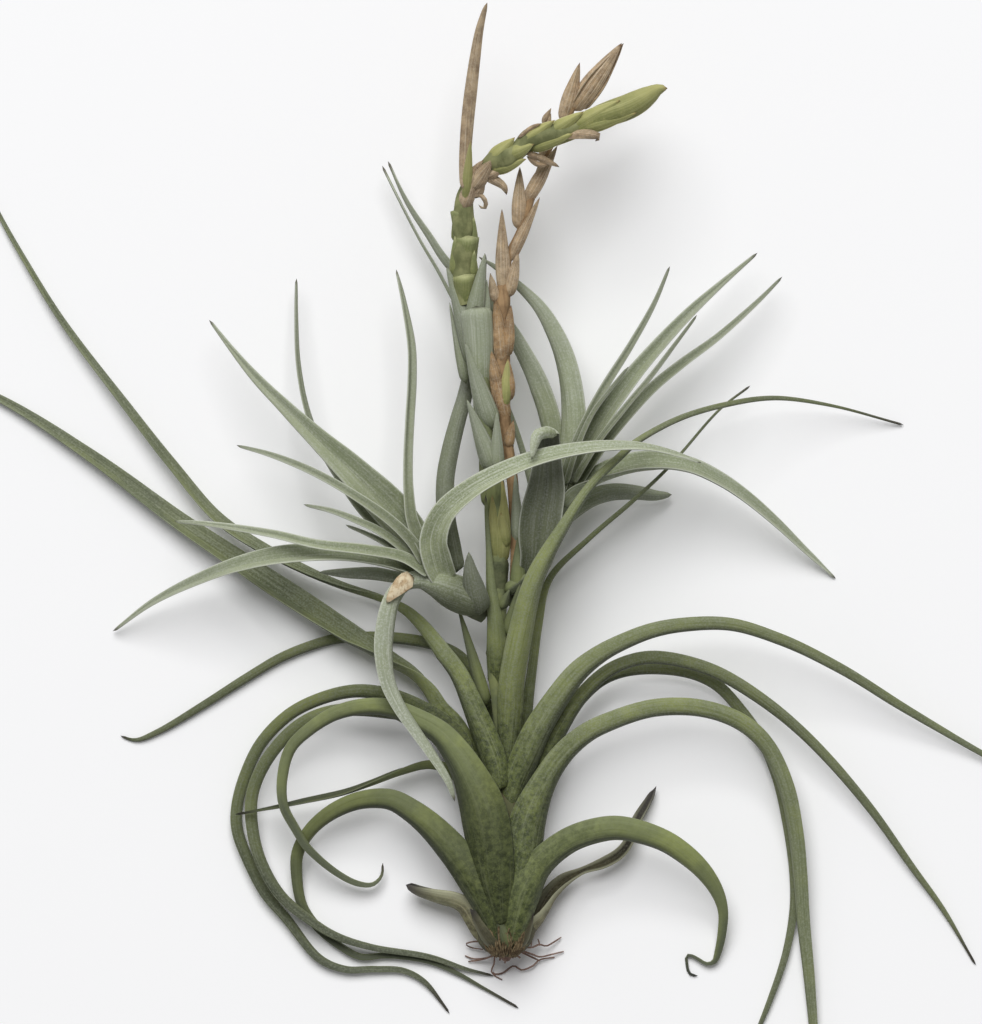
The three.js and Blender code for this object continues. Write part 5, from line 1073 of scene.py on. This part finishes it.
rootRoutes = [
    [(-2, -3, 12, 0.35), (-7, -0.7, 8, 0.3), (-11.4, -0.4, 5, 0.28), (-14.1, -1.4, 3, 0.26),
     (-12.3, -2.6, 2, 0.26), (-7.9, -3.3, 2.4, 0.22)],
    [(-2, -4, 11, 0.35), (-3.7, -4.7, 8, 0.32), (-6.1, -6.2, 5, 0.3), (-10.3, -7.3, 2, 0.28),
     (-13.2, -7.7, 0.8, 0.22)],
    [(-2, -4.4, 9, 0.3), (-7, -6.4, 3, 0.3), (-11.4, -6.7, 1.2, 0.26), (-14.4, -5.6, 0.6, 0.22)],
    [(-1.4, -4.4, 10, 0.35), (-3.4, -5, 8, 0.32), (-4, -8.6, 3, 0.3), (-4.9, -11.3, 1, 0.28),
     (-3.7, -12.8, 0.6, 0.26), (-1, -14.3, 0.5, 0.22)],
    [(-4.6, -11.6, 0.8, 0.28), (-3.7, -12.2, 0.7, 0.28), (-1, -11.9, 0.8, 0.3),
     (3.2, -9.2, 2.4, 0.32), (5.9, -10.7, 1.6, 0.3), (10, -9.2, 2.4, 0.3),
     (12.4, -7.1, 1.6, 0.28), (17.8, -6.2, 0.6, 0.22)],
    [(2, -3.4, 11, 0.36), (4.4, -3.5, 9, 0.34), (8.9, -5.6, 5, 0.32), (12.4, -7.4, 2, 0.28)],
    [(2, -3.2, 12, 0.36), (4.7, -3.2, 10, 0.34), (10, -5, 6, 0.32), (12.4, -5.9, 4, 0.3),
     (17.2, -5, 2, 0.28), (21.1, -4.1, 0.8, 0.22)],
    [(2, -2.6, 13, 0.36), (5.9, -2.3, 10, 0.34), (10, -2.3, 7, 0.32), (12.4, -1.4, 5, 0.3),
     (14.8, -2, 4, 0.28), (17.8, -0.5, 2.4, 0.28), (20.2, 1, 1.2, 0.22)],
    [(12.4, -1.4, 5, 0.26), (12.1, -0.2, 5.4, 0.24), (11.8, 0.6, 5.8, 0.2)],
    [(8.9, 2.4, 13, 0.3), (9.4, 1, 11, 0.3), (9.4, -1.7, 8, 0.24)],
    [(-0.5, -4.6, 10, 0.4), (-0.7, -6.1, 8, 0.3)], [(0.4, -4.8, 10, 0.4), (0.7, -7.2, 7, 0.3)],
    [(1.6, -4.4, 10, 0.4), (2.9, -6.1, 7.6, 0.3)], [(2.6, -4, 10, 0.4), (5.4, -6.1, 7, 0.3)],
    [(-1.2, -4.4, 10, 0.36), (-1.9, -7, 6.6, 0.3)], [(0.9, -4.4, 10, 0.4), (-0.1, -8, 6, 0.3)],
    [(0.4, -3.4, 12, 2.8), (0.4, -5.4, 11.6, 2.2), (0.4, -6.9, 11.2, 1.2)]]
growStem("root_bunch", rootRoutes, rootBark, "root", "roots", 0.08, 9)

bulbRoute = [
    (0, -5.4, 12.2, 2.6), (0, -4.6, 12.2, 4.4), (0, -2, 12.2, 6.4), (0, 4, 12.2, 8.8),
    (0, 12, 12.2, 11), (0, 20, 12.2, 12.2), (0, 34, 12.2, 12.2), (0, 46, 12.2, 10.5),
    (0, 55, 12.2, 6.5), (0, 59, 12.2, 2)]
growStem("bulb", [bulbRoute], bulbSkin, "stem", "mother_stem", 0.012, 72)

# Dry fibres of old sheaths on the bulb's cone, which is given as (y, radius), and the sheaths
# that are left
fibreLook = {"count": 130, "axisHeight": 12.2, "seed": 11, "thick": (0.14, 0.3),
             "starts": (0, 6), "ends": (-5.8, -4), "lift": (0.5, 1.3), "waver": (-0.07, 0.07),
             "cone": ((-6, 2), (-5, 3.6), (-2, 6.6), (4, 9.2), (10, 11.1), (14, 12))}
dice = random.Random(fibreLook["seed"])
fibreRoutes = []
for fibreNumber in range(fibreLook["count"]):
    turn = math.tau * (fibreNumber + dice.random()) / fibreLook["count"]
    top, end, thick = (dice.uniform(*fibreLook[name]) for name in ("starts", "ends", "thick"))
    line = []
    for share in (0, 0.3, 0.6, 0.85, 1):
        y = top + (end - top) * share
        for (low, near), (high, wide) in zip(fibreLook["cone"], fibreLook["cone"][1:]):
            if low <= y <= high:
                out = (near + (wide - near) * (y - low) / (high - low)
                       + dice.uniform(*fibreLook["lift"]))
        around = turn + dice.uniform(*fibreLook["waver"])
        line.append((out * math.sin(around), y, fibreLook["axisHeight"] + out * math.cos(around),
                     thick))
    fibreRoutes.append(line)
growStem("foot_fibres", fibreRoutes, fibre, "root", "mother_stem", 0.0, 6)
footSheaths = [
    ((0.4, -3.4, 16.6), (-12.6, 12.2, 21.4), 8), ((3.4, -3.4, 16), (10.4, 11, 19.6), 5.6),
    ((-3.6, -3.2, 12), (-12.4, 9, 14), 7, 100), ((3.6, -3.2, 12), (12.4, 9, 13), 7, -100)]
footWedges = [((1.8, -2.6, 17.6), (-2.6, 8.6, 22.4), 7.4)]
hold(joinParts("foot_sheaths",
               growBracts("footSheath", footSheaths, witheredLeaf, 0.0, 0.46)
               + growBracts("footWedge", footWedges, motherLeaf, 0.1, 0.66)),
     "withered_leaf", "mother_stem")
print("roots and bulb grown")

# A plain pale floor, soft light from the top of the picture, and a camera that looks down
stage = {"floor": (249, 249, 250), "floorReach": 4, "world": 0.26,
         "window": (-0.8, 5.4, 7.6), "windowAim": (0, 0.1, 0), "windowSize": 7.0,
         "windowPower": 858.0, "cameraHeight": 4.0, "seenHeight": 0.36864,
         "seenCentre": (-0.00504, 0.12808), "sensor": 36.0}
floorMesh = bpy.data.meshes.new("floor")
floorMesh.from_pydata([(x * stage["floorReach"], y * stage["floorReach"], 0)
                       for x, y in ((-1, -1), (1, -1), (1, 1), (-1, 1))], [], [(0, 1, 2, 3)])
floor = bpy.data.objects.new("floor", floorMesh)
scene.collection.objects.link(floor)
paper, nodes = newMaterial("pale_floor")
shader = nodes.make("ShaderNodeBsdfPrincipled", sockets={
    "Base Color": (*tint(*stage["floor"]), 1.0), "Roughness": 0.9, "Specular IOR Level": 0.0})
nodes.make("ShaderNodeOutputMaterial", sockets={"Surface": shader})
floorMesh.materials.append(paper)

world = bpy.data.worlds.new("studio")
scene.world = world
world.use_nodes = True
background = world.node_tree.nodes["Background"]
background.inputs["Color"].default_value = (1.0, 1.0, 1.0, 1.0)
background.inputs["Strength"].default_value = stage["world"]

window = bpy.data.lights.new("window", "AREA")
window.shape = "DISK"
window.size = stage["windowSize"]
window.energy = stage["windowPower"]
windowHolder = bpy.data.objects.new("window", window)
windowHolder.location = stage["window"]
fromWindow = Vector(stage["windowAim"]) - Vector(stage["window"])
windowHolder.rotation_euler = fromWindow.to_track_quat("-Z", "Y").to_euler()
scene.collection.objects.link(windowHolder)

camera = bpy.data.cameras.new("camera")
camera.sensor_width = stage["sensor"]
camera.lens = stage["sensor"] * stage["cameraHeight"] / stage["seenHeight"]
camera.clip_end = 20.0
eye = bpy.data.objects.new("camera", camera)
eye.location = (*stage["seenCentre"], stage["cameraHeight"])
scene.collection.objects.link(eye)
scene.camera = eye
scene.view_settings.view_transform = "Standard"
print("stage set")
